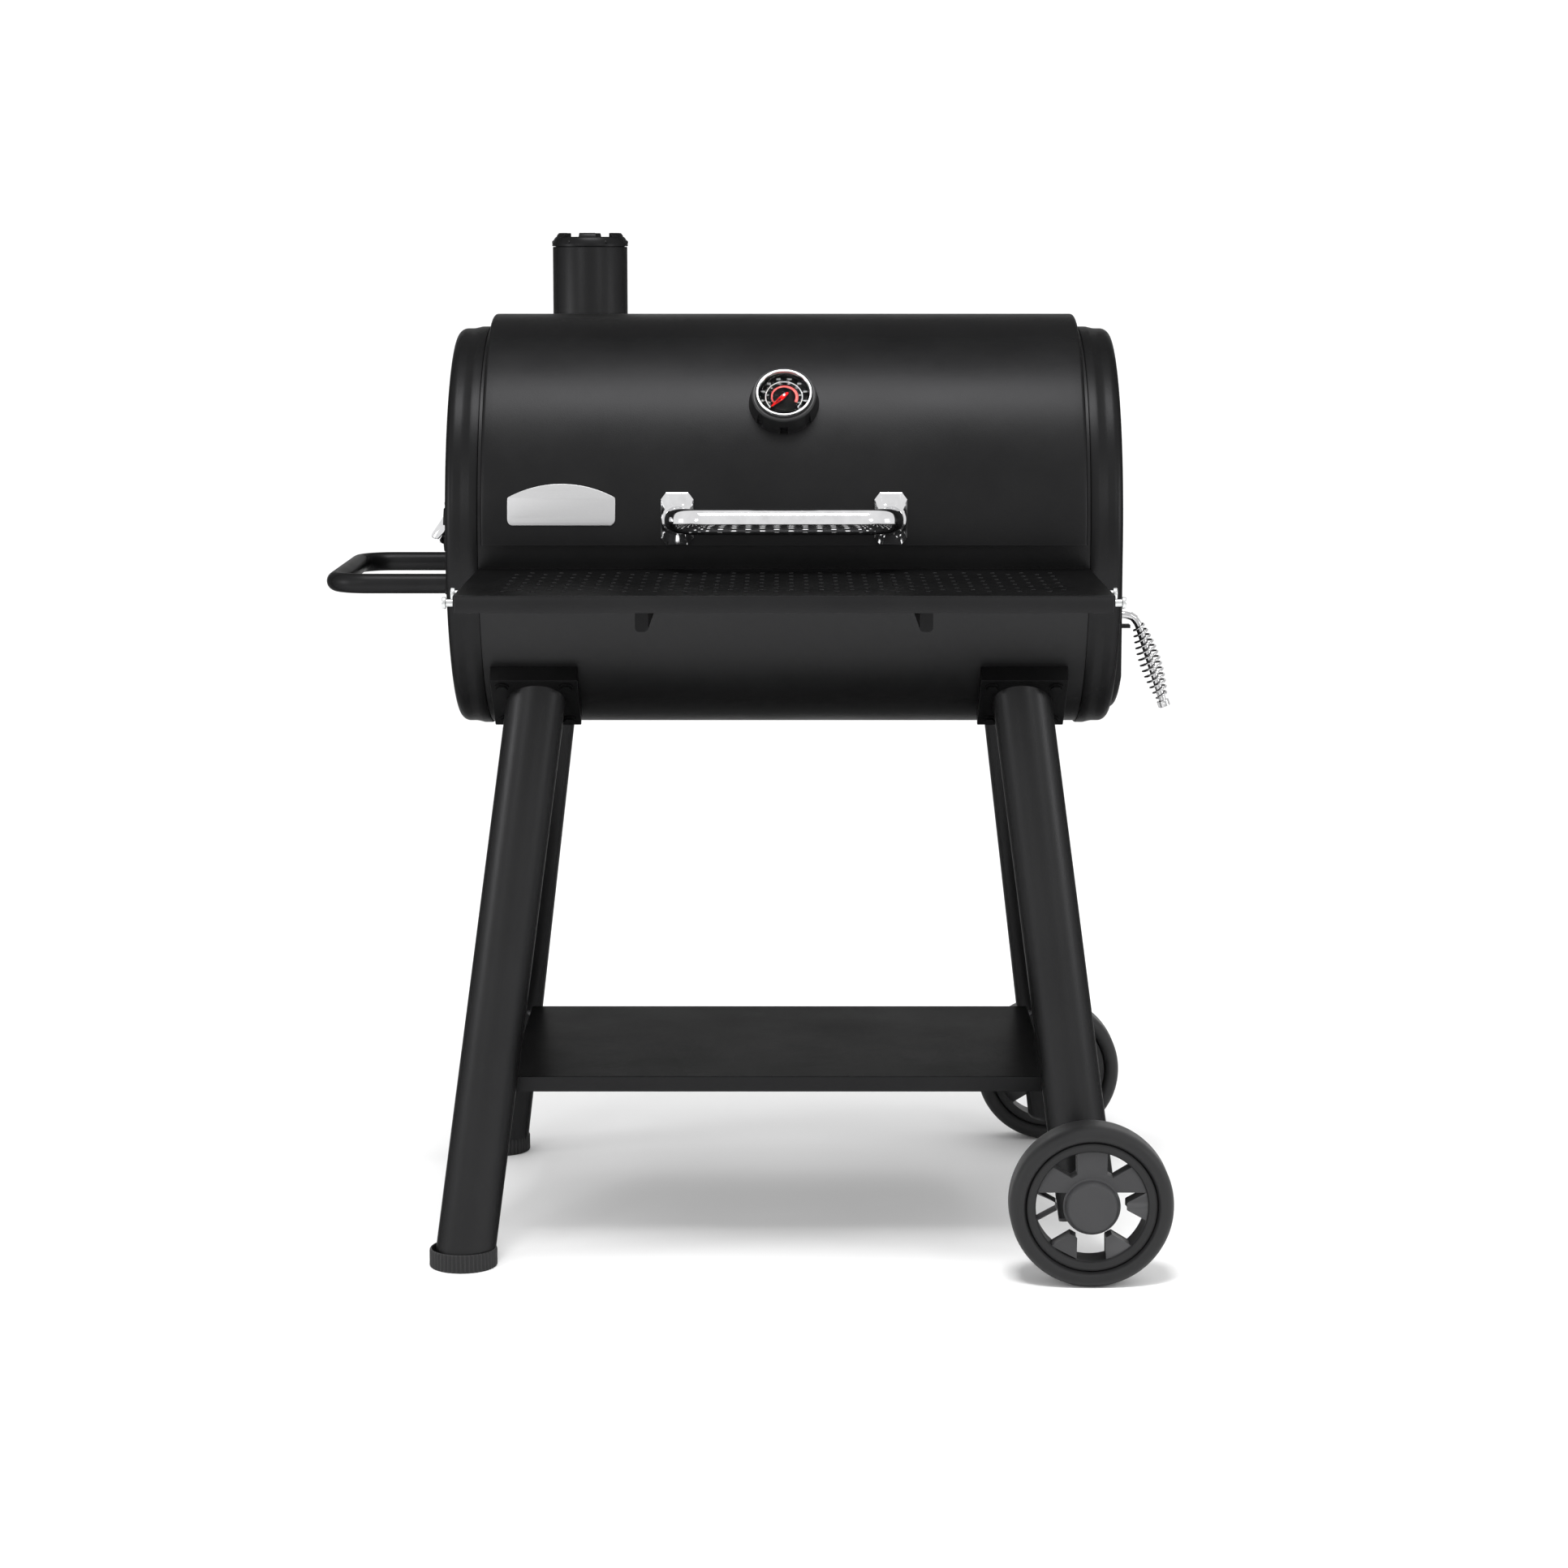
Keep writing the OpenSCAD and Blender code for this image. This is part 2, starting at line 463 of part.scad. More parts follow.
module bottom_shelf_bolts() color(steel) left_right() front_rear() {
    a = [350, -215, low_z - 11];
    rod(a, leg_at(low_z - 11) * 0.55 + a * 0.45, 4);
    rod(a, a + (leg_at(low_z - 11) - a) * 0.07, 8, $fn = 6);
}
module axle() color(steel) cyl_y(axle_d / 2, -wheel_y - 22, wheel_y + 22, axle_x, axle_z);
module axle_spacers() color(grey) front_rear() difference() {
    cyl_y(13, -wheel_y + 27, -326, axle_x, axle_z);
    cyl_y(axle_d / 2 + 0.1, -500, -300, axle_x, axle_z);
}
module axle_nuts() color(steel) front_rear() difference() {
    translate([axle_x, -wheel_y - 15.5, axle_z]) rotate([90, 0, 0]) cylinder(h = 6, r = 11, $fn = 6);
    cyl_y(axle_d / 2 + 0.1, -500, -300, axle_x, axle_z);
}
// ---- wheels, outboard face towards -Y ----
module wheel_at() translate([axle_x, -wheel_y, axle_z]) rotate([90, 0, 0]) children();
module tyre() color(black) wheel_at() rotate_extrude() polygon([[82.9, -22], [91, -tyre_w / 2], [95, -tyre_w / 2 + 1], [99.5, -tyre_w / 2 + 5],
    [wheel_d / 2, -tyre_w / 2 + 12], [wheel_d / 2, tyre_w / 2 - 12], [99.5, tyre_w / 2 - 5], [95, tyre_w / 2 - 1], [91, tyre_w / 2], [82.9, 22]]);
module wheel_rim() color(grey) wheel_at() difference() {
    union() {
        rotate_extrude() translate([70, -21]) square([12.8, 42]);
        rotate_extrude() translate([20, -26]) square([11, 52]);
        cylinder(h = 48, r = 24, center = true);
        for (i = [0:5]) rotate([0, 0, i * 60 + 30]) translate([28, -18.7, -9]) cube([44, 37.4, 27]);
        translate([0, 0, -9]) cylinder(h = 27, r = 44.5);
        translate([0, 0, 26]) cylinder(h = 4.9, r = 33.5);
        translate([0, 0, 18.5]) cylinder(h = 8, r = 28);
    }
    translate([0, 0, -40]) cylinder(h = 55, r = axle_d / 2 + 0.08);
    translate([0, 0, 15]) cylinder(h = 10, r = 15);
}
module front_tyre() tyre();
module rear_tyre() mirror([0, 1, 0]) tyre();
module front_wheel_rim() wheel_rim();
module rear_wheel_rim() mirror([0, 1, 0]) wheel_rim();

place() barrel_shell();
place() left_end_cap();
place() right_end_cap();
place() grate_rails();
place() charcoal_rails();
place() ash_pan_runners();
place() cooking_grate_left();
place() cooking_grate_right();
place() charcoal_grate();
place() ash_pan();
place() lid();
place() lid_hinge_leaves();
place() lid_hinge_bases();
place() lid_hinge_pins();
place() lid_handle();
place() lid_handle_posts();
place() thermometer_housing();
place() thermometer_bezel();
place() thermometer_dial();
place() thermometer_glass();
place() thermometer_probe();
place() thermometer_needle();
place() badge_plate();
place() chimney_elbow();
place() chimney_pipe();
place() chimney_valve_plate();
place() chimney_pivot();
place() chimney_cap();
place() front_shelf();
place() shelf_brackets();
place() tool_hooks();
place() side_handle();
place() side_handle_flanges();
place() damper_cap();
place() damper_knob();
place() damper_pivot();
place() access_door();
place() door_hinge_leaves();
place() door_hinge_bases();
place() door_hinge_pins();
place() door_latch_handle();
place() door_handle_grip();
place() door_catch();
place() leg_brackets();
place() leg_bracket_bolts();
place() leg_front_left();
place() leg_front_right();
place() leg_rear_left();
place() leg_rear_right();
place() leg_feet();
place() leg_end_caps();
place() bottom_shelf();
place() bottom_shelf_bolts();
place() axle();
place() axle_spacers();
place() axle_nuts();
place() front_tyre();
place() front_wheel_rim();
place() rear_tyre();
place() rear_wheel_rim();
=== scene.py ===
import math

import bmesh
import bpy
from mathutils import Matrix, Vector


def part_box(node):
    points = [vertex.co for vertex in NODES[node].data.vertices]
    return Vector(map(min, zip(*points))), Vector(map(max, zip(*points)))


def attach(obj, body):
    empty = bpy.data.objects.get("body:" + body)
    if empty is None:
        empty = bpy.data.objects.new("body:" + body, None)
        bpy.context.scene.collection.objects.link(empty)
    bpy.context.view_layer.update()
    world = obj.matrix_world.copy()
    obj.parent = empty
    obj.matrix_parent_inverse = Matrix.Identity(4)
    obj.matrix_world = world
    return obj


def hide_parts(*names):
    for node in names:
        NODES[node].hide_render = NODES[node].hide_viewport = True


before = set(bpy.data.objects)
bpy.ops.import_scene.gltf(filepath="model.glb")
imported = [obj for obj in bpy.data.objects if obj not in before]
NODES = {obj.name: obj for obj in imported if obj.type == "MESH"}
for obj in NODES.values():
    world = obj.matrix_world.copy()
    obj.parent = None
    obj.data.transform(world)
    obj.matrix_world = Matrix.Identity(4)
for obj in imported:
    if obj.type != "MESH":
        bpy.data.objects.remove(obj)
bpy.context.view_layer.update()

# The design frame has the barrel axis at y = 0; the axle gives where it lies in the row frame, in mm.
_lo, _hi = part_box("axle")
OX = (_lo[0] + _hi[0]) * 500 - 385.0
OY = (_lo[1] + _hi[1]) * 500
AX_Z = 925.5
CAP_X = 427.0
LID_R = 278.0
PI = math.pi
THERMO = 37.6  # angle of the thermometer on the lid
SHIFT = 12.5  # the wheeled legs stand this much nearer the middle


# ------------------------------------------------------------------ geometry helpers (design mm)
class Build:
    def __init__(self):
        self.v, self.f, self.m = [], [], []

    def add(self, vf, xf=None, mat=0):
        verts, faces = vf
        n = len(self.v)
        for p in verts:
            p = Vector(p)
            self.v.append(xf @ p if xf is not None else p)
        for face in faces:
            self.f.append([i + n for i in face])
            self.m.append(mat)
        return self


def lathe(profile, n=96, a0=0.0, a1=360.0, closed=False):
    """profile of (r, z) turned about Z; closed joins its last point to its first."""
    full = abs(a1 - a0) >= 359.999
    rings = n if full else n + 1
    verts, faces, idx = [], [], []
    for (r, z) in profile:
        if r < 1e-6:
            verts.append((0, 0, z))
            idx.append([len(verts) - 1] * rings)
        else:
            row = []
            for i in range(rings):
                a = math.radians(a0 + (a1 - a0) * i / n)
                verts.append((r * math.cos(a), r * math.sin(a), z))
                row.append(len(verts) - 1)
            idx.append(row)
    m = len(profile)
    pairs = [(k, k + 1) for k in range(m - 1)] + ([(m - 1, 0)] if closed else [])
    for a, b in pairs:
        for i in range(n):
            j = (i + 1) % rings
            q = [idx[a][i], idx[a][j], idx[b][j], idx[b][i]]
            q2 = []
            for t in q:
                if t not in q2:
                    q2.append(t)
            if len(q2) > 2:
                faces.append(q2)
    if closed and not full:
        faces.append([idx[k][0] for k in range(m)])
        faces.append([idx[k][-1] for k in range(m)][::-1])
    return verts, faces


def tube(path, r, n=24, cap=True, ring=False):
    """Round bar swept along points; r is a number or one radius per point."""
    pts = [Vector(p) for p in path]
    rad = [r] * len(pts) if isinstance(r, (int, float)) else list(r)
    verts, faces = [], []
    last = None
    up = None
    for i, p in enumerate(pts):
        if ring:
            d = (pts[(i + 1) % len(pts)] - pts[i - 1]).normalized()
        else:
            d = (pts[min(i + 1, len(pts) - 1)] - pts[max(i - 1, 0)]).normalized()
        if up is None:
            up = d.orthogonal().normalized()
        else:
            up = (up - d * up.dot(d)).normalized()
        side = d.cross(up)
        for k in range(n):
            a = 2 * PI * k / n
            verts.append(p + (up * math.cos(a) + side * math.sin(a)) * rad[i])
    m = len(pts)
    for i in range(m if ring else m - 1):
        j = (i + 1) % m
        for k in range(n):
            l = (k + 1) % n
            faces.append([i * n + k, i * n + l, j * n + l, j * n + k])
    if cap and not ring:
        faces.append([k for k in range(n)][::-1])
        faces.append([(m - 1) * n + k for k in range(n)])
    return verts, faces


def loft(sections):
    """Joins closed loops of equal length, capped at both ends."""
    n = len(sections[0])
    verts = [Vector(p) for s in sections for p in s]
    faces = []
    for i in range(len(sections) - 1):
        for k in range(n):
            l = (k + 1) % n
            faces.append([i * n + k, i * n + l, (i + 1) * n + l, (i + 1) * n + k])
    faces.append([k for k in range(n)][::-1])
    faces.append([(len(sections) - 1) * n + k for k in range(n)])
    return verts, faces


def prism(poly, z0, z1):
    return loft([[(x, y, z0) for x, y in poly], [(x, y, z1) for x, y in poly]])


def round_poly(points, radius, steps=6):
    """Rounds each corner of a polygon; radius is a number or one per corner."""
    n = len(points)
    rr = [radius] * n if isinstance(radius, (int, float)) else radius
    out = []
    for i in range(n):
        p, a, b = Vector(points[i]), Vector(points[i - 1]), Vector(points[(i + 1) % n])
        if rr[i] <= 0:
            out.append((p.x, p.y))
            continue
        u, w = (a - p).normalized(), (b - p).normalized()
        ang = math.acos(max(-1, min(1, u.dot(w))))
        t = min(rr[i] / math.tan(ang / 2), (a - p).length * 0.49, (b - p).length * 0.49)
        r = t * math.tan(ang / 2)
        c = p + (u + w).normalized() * (r / math.sin(ang / 2))
        s, e = p + u * t - c, p + w * t - c
        a0, a1 = math.atan2(s.y, s.x), math.atan2(e.y, e.x)
        d = (a1 - a0 + PI) % (2 * PI) - PI
        for k in range(steps + 1):
            q = a0 + d * k / steps
            out.append((c.x + r * math.cos(q), c.y + r * math.sin(q)))
    return out


def circle2(r, n=48, cx=0.0, cy=0.0, a0=0.0):
    return [(cx + r * math.cos(a0 + 2 * PI * k / n), cy + r * math.sin(a0 + 2 * PI * k / n)) for k in range(n)]


def plate(outline, holes, thick, bevel=0.6, res=2):
    """Flat plate with holes, centred on z = 0, made from a filled outline and returned as (verts, faces)."""
    cu = bpy.data.curves.new("tmp_plate", "CURVE")
    cu.dimensions = "2D"
    cu.fill_mode = "BOTH"
    # The curve's bevel grows the outline, so the outline is drawn that much smaller
    for loop, inner in [(outline, False)] + [(h, True) for h in holes]:
        sp = cu.splines.new("POLY")
        sp.points.add(len(loop) - 1)
        for p, (x, y) in zip(sp.points, loop):
            p.co = (x, y, 0, 1)
        sp.use_cyclic_u = True
    cu.extrude = thick / 2 - bevel
    cu.bevel_depth = bevel
    cu.bevel_resolution = res
    cu.offset = -bevel
    o = bpy.data.objects.new("tmp_plate", cu)
    bpy.context.scene.collection.objects.link(o)
    dg = bpy.context.evaluated_depsgraph_get()
    me = bpy.data.meshes.new_from_object(o.evaluated_get(dg))
    verts = [v.co.copy() for v in me.vertices]
    faces = [list(p.vertices) for p in me.polygons]
    bpy.data.objects.remove(o)
    bpy.data.meshes.remove(me)
    bpy.data.curves.remove(cu)
    return verts, faces


def rbox(x0, x1, y0, y1, z0, z1, r=1.0, seg=3):
    bm = bmesh.new()
    bmesh.ops.create_cube(bm, size=1.0)
    for v in bm.verts:
        v.co = Vector((x0 if v.co.x < 0 else x1, y0 if v.co.y < 0 else y1, z0 if v.co.z < 0 else z1))
    if r > 0:
        bmesh.ops.bevel(bm, geom=bm.edges[:], offset=r, segments=seg, profile=0.5, affect="EDGES")
    bm.verts.index_update()
    out = [v.co.copy() for v in bm.verts], [[v.index for v in f.verts] for f in bm.faces]
    bm.free()
    return out


def word(text, size, cx, cy, z):
    """Generic dial number as a thin flat mesh."""
    cu = bpy.data.curves.new("tmp_text", "FONT")
    cu.body = text
    cu.size = size
    cu.align_x = "CENTER"
    cu.align_y = "CENTER"
    cu.extrude = 0.08
    cu.resolution_u = 3
    o = bpy.data.objects.new("tmp_text", cu)
    bpy.context.scene.collection.objects.link(o)
    dg = bpy.context.evaluated_depsgraph_get()
    me = bpy.data.meshes.new_from_object(o.evaluated_get(dg))
    verts = [Vector((v.co.x + cx, v.co.y + cy, v.co.z + z)) for v in me.vertices]
    faces = [list(p.vertices) for p in me.polygons]
    bpy.data.objects.remove(o)
    bpy.data.meshes.remove(me)
    bpy.data.curves.remove(cu)
    return verts, faces


def at_phi(phi, r, x=0.0):
    a = math.radians(phi)
    return Matrix.Translation((x, -r * math.cos(a), AX_Z + r * math.sin(a))) @ Matrix.Rotation(PI / 2 - a, 4, "X")


def along(a, b):
    """Matrix that puts local Z along a to b, starting at a."""
    d = Vector(b) - Vector(a)
    return Matrix.Translation(a) @ d.to_track_quat("Z", "Y").to_matrix().to_4x4()


ON_X = Matrix(((0, 0, 1, 0), (1, 0, 0, 0), (0, 1, 0, AX_Z), (0, 0, 0, 1)))  # local XY is world YZ, local Z is world X


def piece(name, build, mats, body, nodes=(), bevel=0.0, seg=2, sharp=38, weld=0.002, weighted=True, sub=0, limit=35):
    me = bpy.data.meshes.new(name)
    me.from_pydata([((p.x + OX) / 1000, (p.y + OY) / 1000, p.z / 1000) for p in build.v], [], build.f)
    mats = mats if isinstance(mats, (list, tuple)) else [mats]
    for m in mats:
        me.materials.append(m)
    me.polygons.foreach_set("material_index", build.m)
    bm = bmesh.new()
    bm.from_mesh(me)
    bmesh.ops.remove_doubles(bm, verts=bm.verts, dist=weld / 1000)
    bmesh.ops.recalc_face_normals(bm, faces=bm.faces)
    bm.to_mesh(me)
    bm.free()
    me.polygons.foreach_set("use_smooth", [True] * len(me.polygons))
    me.set_sharp_from_angle(angle=math.radians(sharp))
    o = bpy.data.objects.new(name, me)
    bpy.context.scene.collection.objects.link(o)
    if bevel > 0:
        b = o.modifiers.new("edge_bevel", "BEVEL")
        b.width = bevel / 1000
        b.segments = seg
        b.limit_method = "ANGLE"
        b.angle_limit = math.radians(limit)
        b.harden_normals = False
    if sub:
        s = o.modifiers.new("smooth", "SUBSURF")
        s.levels = s.render_levels = sub
    if weighted and bevel > 0:
        w = o.modifiers.new("even_normals", "WEIGHTED_NORMAL")
        w.keep_sharp = True
    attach(o, body)
    if nodes:
        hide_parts(*nodes)
    return o


def carve(o, cutters):
    """Cuts closed solids out of a piece and keeps the result as its mesh."""
    tmp = bpy.data.meshes.new("tmp_cut")
    tmp.from_pydata([((p.x + OX) / 1000, (p.y + OY) / 1000, p.z / 1000) for p in cutters.v], [], cutters.f)
    bm = bmesh.new()
    bm.from_mesh(tmp)
    bmesh.ops.remove_doubles(bm, verts=bm.verts, dist=1e-6)
    bmesh.ops.recalc_face_normals(bm, faces=bm.faces)
    bm.to_mesh(tmp)
    bm.free()
    c = bpy.data.objects.new("tmp_cut", tmp)
    bpy.context.scene.collection.objects.link(c)
    mod = o.modifiers.new("cut", "BOOLEAN")
    mod.operation = "DIFFERENCE"
    mod.solver = "EXACT"
    mod.object = c
    bpy.context.view_layer.update()
    dg = bpy.context.evaluated_depsgraph_get()
    new = bpy.data.meshes.new_from_object(o.evaluated_get(dg))
    o.modifiers.remove(mod)
    old = o.data
    o.data = new
    bpy.data.meshes.remove(old)
    bpy.data.objects.remove(c)
    bpy.data.meshes.remove(tmp)
    new.polygons.foreach_set("use_smooth", [True] * len(new.polygons))
    new.set_sharp_from_angle(angle=math.radians(38))
    return o


# ------------------------------------------------------------------ materials
def material(name):
    m = bpy.data.materials.new(name)
    m.use_nodes = True
    nt = m.node_tree
    nt.nodes.clear()
    out = nt.nodes.new("ShaderNodeOutputMaterial")
    b = nt.nodes.new("ShaderNodeBsdfPrincipled")
    nt.links.new(b.outputs["BSDF"], out.inputs["Surface"])
    tc = nt.nodes.new("ShaderNodeTexCoord")
    return m, nt, b, tc


def noise(nt, tc, scale, detail=3.0, rough=0.55, stretch=None):
    n = nt.nodes.new("ShaderNodeTexNoise")
    n.inputs["Scale"].default_value = scale
    n.inputs["Detail"].default_value = detail
    n.inputs["Roughness"].default_value = rough
    src = tc.outputs["Object"]
    if stretch:
        mp = nt.nodes.new("ShaderNodeMapping")
        mp.inputs["Scale"].default_value = stretch
        nt.links.new(src, mp.inputs["Vector"])
        src = mp.outputs["Vector"]
    nt.links.new(src, n.inputs["Vector"])
    return n


def ramp(nt, src, stops):
    r = nt.nodes.new("ShaderNodeValToRGB")
    e = r.color_ramp.elements
    while len(e) < len(stops):
        e.new(0.5)
    for el, (pos, col) in zip(e, stops):
        el.position = pos
        el.color = (*col, 1) if len(col) == 3 else col
    nt.links.new(src, r.inputs["Fac"])
    return r


def to_range(nt, src, lo, hi, a=0.3, b=0.7):
    mr = nt.nodes.new("ShaderNodeMapRange")
    mr.inputs["From Min"].default_value = a
    mr.inputs["From Max"].default_value = b
    mr.inputs["To Min"].default_value = lo
    mr.inputs["To Max"].default_value = hi
    nt.links.new(src, mr.inputs["Value"])
    return mr


def bump(nt, src, b, strength, dist, chain=None):
    bp = nt.nodes.new("ShaderNodeBump")
    bp.inputs["Strength"].default_value = strength
    bp.inputs["Distance"].default_value = dist
    nt.links.new(src, bp.inputs["Height"])
    if chain is not None:
        nt.links.new(chain.outputs["Normal"], bp.inputs["Normal"])
    nt.links.new(bp.outputs["Normal"], b.inputs["Normal"])
    return bp


def paint_edge_highlight(nt, base_out, b, edge_highlight_color, lo=0.535, hi=0.62, amount=0.5, tc=None):
    """Painted highlight: a lighter tone mixed into the base colour along convex edges."""
    g = nt.nodes.new("ShaderNodeNewGeometry")
    mr = to_range(nt, g.outputs["Pointiness"], 0.0, amount, lo, hi)
    mx = nt.nodes.new("ShaderNodeMix")
    mx.data_type = "RGBA"
    # painted highlight colour, blended in by the convex-edge mask
    mx.inputs[7].default_value = (*edge_highlight_color, 1)
    nt.links.new(mr.outputs["Result"], mx.inputs[0])
    nt.links.new(base_out, mx.inputs[6])
    nt.links.new(mx.outputs[2], b.inputs["Base Color"])


def powder_coat(name, dark, light, r0, r1, grain=0.28):
    m, nt, b, tc = material(name)
    big = noise(nt, tc, 7.0, 4.0, 0.6)
    fine = noise(nt, tc, 620.0, 2.0, 0.6)
    speck = noise(nt, tc, 1500.0, 1.0, 0.5)
    cr = ramp(nt, big.outputs["Fac"], [(0.3, dark), (0.7, light)])
    # painted highlight: lighter colour along convex edges of the black coat
    paint_edge_highlight(nt, cr.outputs["Color"], b, (0.05, 0.05, 0.051), amount=0.3)
    rr = to_range(nt, big.outputs["Fac"], r0, r1)
    nt.links.new(rr.outputs["Result"], b.inputs["Roughness"])
    b1 = bump(nt, fine.outputs["Fac"], b, grain, 0.00035)
    bump(nt, speck.outputs["Fac"], b, grain * 0.5, 0.00015, b1)
    b.inputs["Metallic"].default_value = 0.85
    b.inputs["Specular Tint"].default_value = (0.26, 0.26, 0.26, 1.0)
    b.inputs["Specular IOR Level"].default_value = 0.14
    return m


def metal(name, col, r0, r1, streak=None, grain=0.05):
    m, nt, b, tc = material(name)
    b.inputs["Metallic"].default_value = 1.0
    n = noise(nt, tc, 40.0 if streak is None else 300.0, 3.0, 0.6, streak)
    lo = tuple(c * 0.86 for c in col)
    cr = ramp(nt, n.outputs["Fac"], [(0.3, lo), (0.7, col)])
    nt.links.new(cr.outputs["Color"], b.inputs["Base Color"])
    rr = to_range(nt, n.outputs["Fac"], r0, r1)
    nt.links.new(rr.outputs["Result"], b.inputs["Roughness"])
    f = noise(nt, tc, 500.0, 2.0, 0.5, streak)
    bump(nt, f.outputs["Fac"], b, grain, 0.0001)
    return m


def plastic(name, dark, light, r0, r1, grain=0.2, scale=900.0, spec=0.5):
    m, nt, b, tc = material(name)
    big = noise(nt, tc, 24.0, 3.0, 0.6)
    cr = ramp(nt, big.outputs["Fac"], [(0.3, dark), (0.7, light)])
    # painted highlight: convex edges lightened to about 1.8 times the light tone
    paint_edge_highlight(nt, cr.outputs["Color"], b, tuple(min(1, c * 1.8 + 0.02) for c in light), amount=0.4)
    rr = to_range(nt, big.outputs["Fac"], r0, r1)
    nt.links.new(rr.outputs["Result"], b.inputs["Roughness"])
    f = noise(nt, tc, scale, 2.0, 0.6)
    bump(nt, f.outputs["Fac"], b, grain, 0.00025)
    b.inputs["Specular IOR Level"].default_value = spec
    return m


MAT = {
    "black_powder_coat": powder_coat("mat_black_powder_coat", (0.0165, 0.0165, 0.017), (0.0205, 0.0205, 0.021), 0.34, 0.42),
    "chrome": metal("mat_chrome", (0.76, 0.76, 0.77), 0.05, 0.09, None, 0.002),
    "steel": metal("mat_steel", (0.62, 0.62, 0.63), 0.24, 0.36, (1.0, 1.0, 6.0), 0.08),
    "grate_steel": plastic("mat_grate_enamel", (0.02, 0.02, 0.021), (0.045, 0.044, 0.042), 0.34, 0.52, 0.3, 420.0),
    "thermometer_black": plastic("mat_thermometer_black", (0.009, 0.009, 0.0095), (0.013, 0.013, 0.0135), 0.34, 0.44, 0.12, 900.0, 0.3),
    "dial": plastic("mat_dial_black", (0.003, 0.003, 0.0032), (0.005, 0.005, 0.0052), 0.75, 0.85, 0.03, 1500.0, 0.02),
    "needle_red": plastic("mat_needle_red", (0.62, 0.006, 0.006), (0.72, 0.01, 0.009), 0.6, 0.7, 0.03, 900.0, 0.03),
    "badge": metal("mat_badge_steel", (0.56, 0.56, 0.565), 0.3, 0.42, (1.0, 9.0, 60.0), 0.07),
    "tyre": plastic("mat_tyre_rubber", (0.0085, 0.0085, 0.009), (0.012, 0.012, 0.0125), 0.46, 0.58, 0.2, 520.0, 0.3),
    "wheel_grey": plastic("mat_wheel_plastic", (0.028, 0.028, 0.0295), (0.034, 0.034, 0.0355), 0.46, 0.56, 0.2, 700.0, 0.35),
    "foot_rubber": plastic("mat_foot_rubber", (0.010, 0.010, 0.0105), (0.015, 0.015, 0.0155), 0.46, 0.58, 0.2, 600.0, 0.3),
}
MAT["zinc"] = metal("mat_bright_zinc", (0.64, 0.65, 0.65), 0.26, 0.36, None, 0.01)
MAT["spring"] = metal("mat_spring_steel", (0.5, 0.5, 0.505), 0.1, 0.18, None, 0.003)
MAT["dial_white"] = plastic("mat_dial_white_print", (0.74, 0.74, 0.73), (0.82, 0.82, 0.81), 0.5, 0.6, 0.05)
MAT["dial_red"] = plastic("mat_dial_red_print", (0.55, 0.035, 0.03), (0.64, 0.045, 0.035), 0.5, 0.6, 0.05)


def make_glass():
    m, nt, b, tc = material("mat_clear_glass")
    n = noise(nt, tc, 60.0, 2.0)
    cr = ramp(nt, n.outputs["Fac"], [(0.3, (0.96, 0.97, 0.97)), (0.7, (1, 1, 1))])
    nt.links.new(cr.outputs["Color"], b.inputs["Base Color"])
    rr = to_range(nt, n.outputs["Fac"], 0.0, 0.008)
    nt.links.new(rr.outputs["Result"], b.inputs["Roughness"])
    b.inputs["Transmission Weight"].default_value = 1.0
    b.inputs["IOR"].default_value = 1.04
    return m


MAT["glass"] = make_glass()

for nm, o in NODES.items():
    s = o.data.materials[0].name if o.data.materials and o.data.materials[0] else "black_powder_coat"
    s = s.split(".")[0]
    for i in range(len(o.material_slots)):
        o.material_slots[i].material = MAT.get(s, MAT["black_powder_coat"])


def soften(names, width, seg=2, limit=34):
    """Small real edge radius on carried-over nodes."""
    for nm in names:
        o = NODES[nm]
        w = o.modifiers.new("weld", "WELD")
        w.merge_threshold = 2e-6
        b = o.modifiers.new("edge_bevel", "BEVEL")
        b.width = width / 1000
        b.segments = seg
        b.limit_method = "ANGLE"
        b.angle_limit = math.radians(limit)
        n = o.modifiers.new("even_normals", "WEIGHTED_NORMAL")
        n.keep_sharp = True


BLACK = MAT["black_powder_coat"]
CHROME = MAT["chrome"]
STEEL = MAT["steel"]


# ------------------------------------------------------------------ barrel caps
def cap_profile_fine():
    """Closed sheet profile (r, x) of a dished end cap with a rolled bead at the seam."""
    out = [(0, CAP_X), (60, CAP_X), (120, CAP_X), (180, CAP_X), (228, CAP_X), (247, CAP_X)]
    for k in range(1, 19):
        a = math.radians(90 - 5 * k)
        out.append((247 + 12 * math.cos(a), 415 + 12 * math.sin(a)))
    out += [(259, 411.5), (259, 408), (259.05, 406.8), (259.4, 404.5), (260.6, 399.2), (261.1, 397.4), (261.35, 396), (261.4, 394.5), (261.4, 386.6), (260.9, 385.4), (260.1, 385.02), (259.12, 385.02)]
    out += [(259.12, 392), (257.2, 394.0), (256.5, 400), (256.5, 415)]
    for k in range(1, 18):
        a = math.radians(5 * k)
        out.append((247 + 9.5 * math.cos(a), 415 + 9.5 * math.sin(a)))
    out += [(247, CAP_X - 2.5), (120, CAP_X - 2.5), (0, CAP_X - 2.5)]
    return out


def sector(r0, r1, c, half, z0, z1, n=10):
    a = [math.radians(c - half + 2 * half * k / n) for k in range(n + 1)]
    poly = [(r1 * math.cos(t), r1 * math.sin(t)) for t in a] + [(r0 * math.cos(t), r0 * math.sin(t)) for t in a[::-1]]
    return prism(poly, z0, z1)


left = piece("left_cap_shell", Build().add(lathe(cap_profile_fine(), 192), Matrix.Scale(-1, 4, (1, 0, 0)) @ ON_X), BLACK, "stand", ["left_end_cap"])
cut = Build()
LEFT_X = Matrix(((0, 0, -1, -CAP_X), (-1, 0, 0, 0), (0, 1, 0, AX_Z - 4.5), (0, 0, 0, 1)))  # local Z points out of the left cap
for k in range(4):
    cut.add(sector(13, 34, 90 * k, 21, -20, 20), LEFT_X)
carve(left, cut)

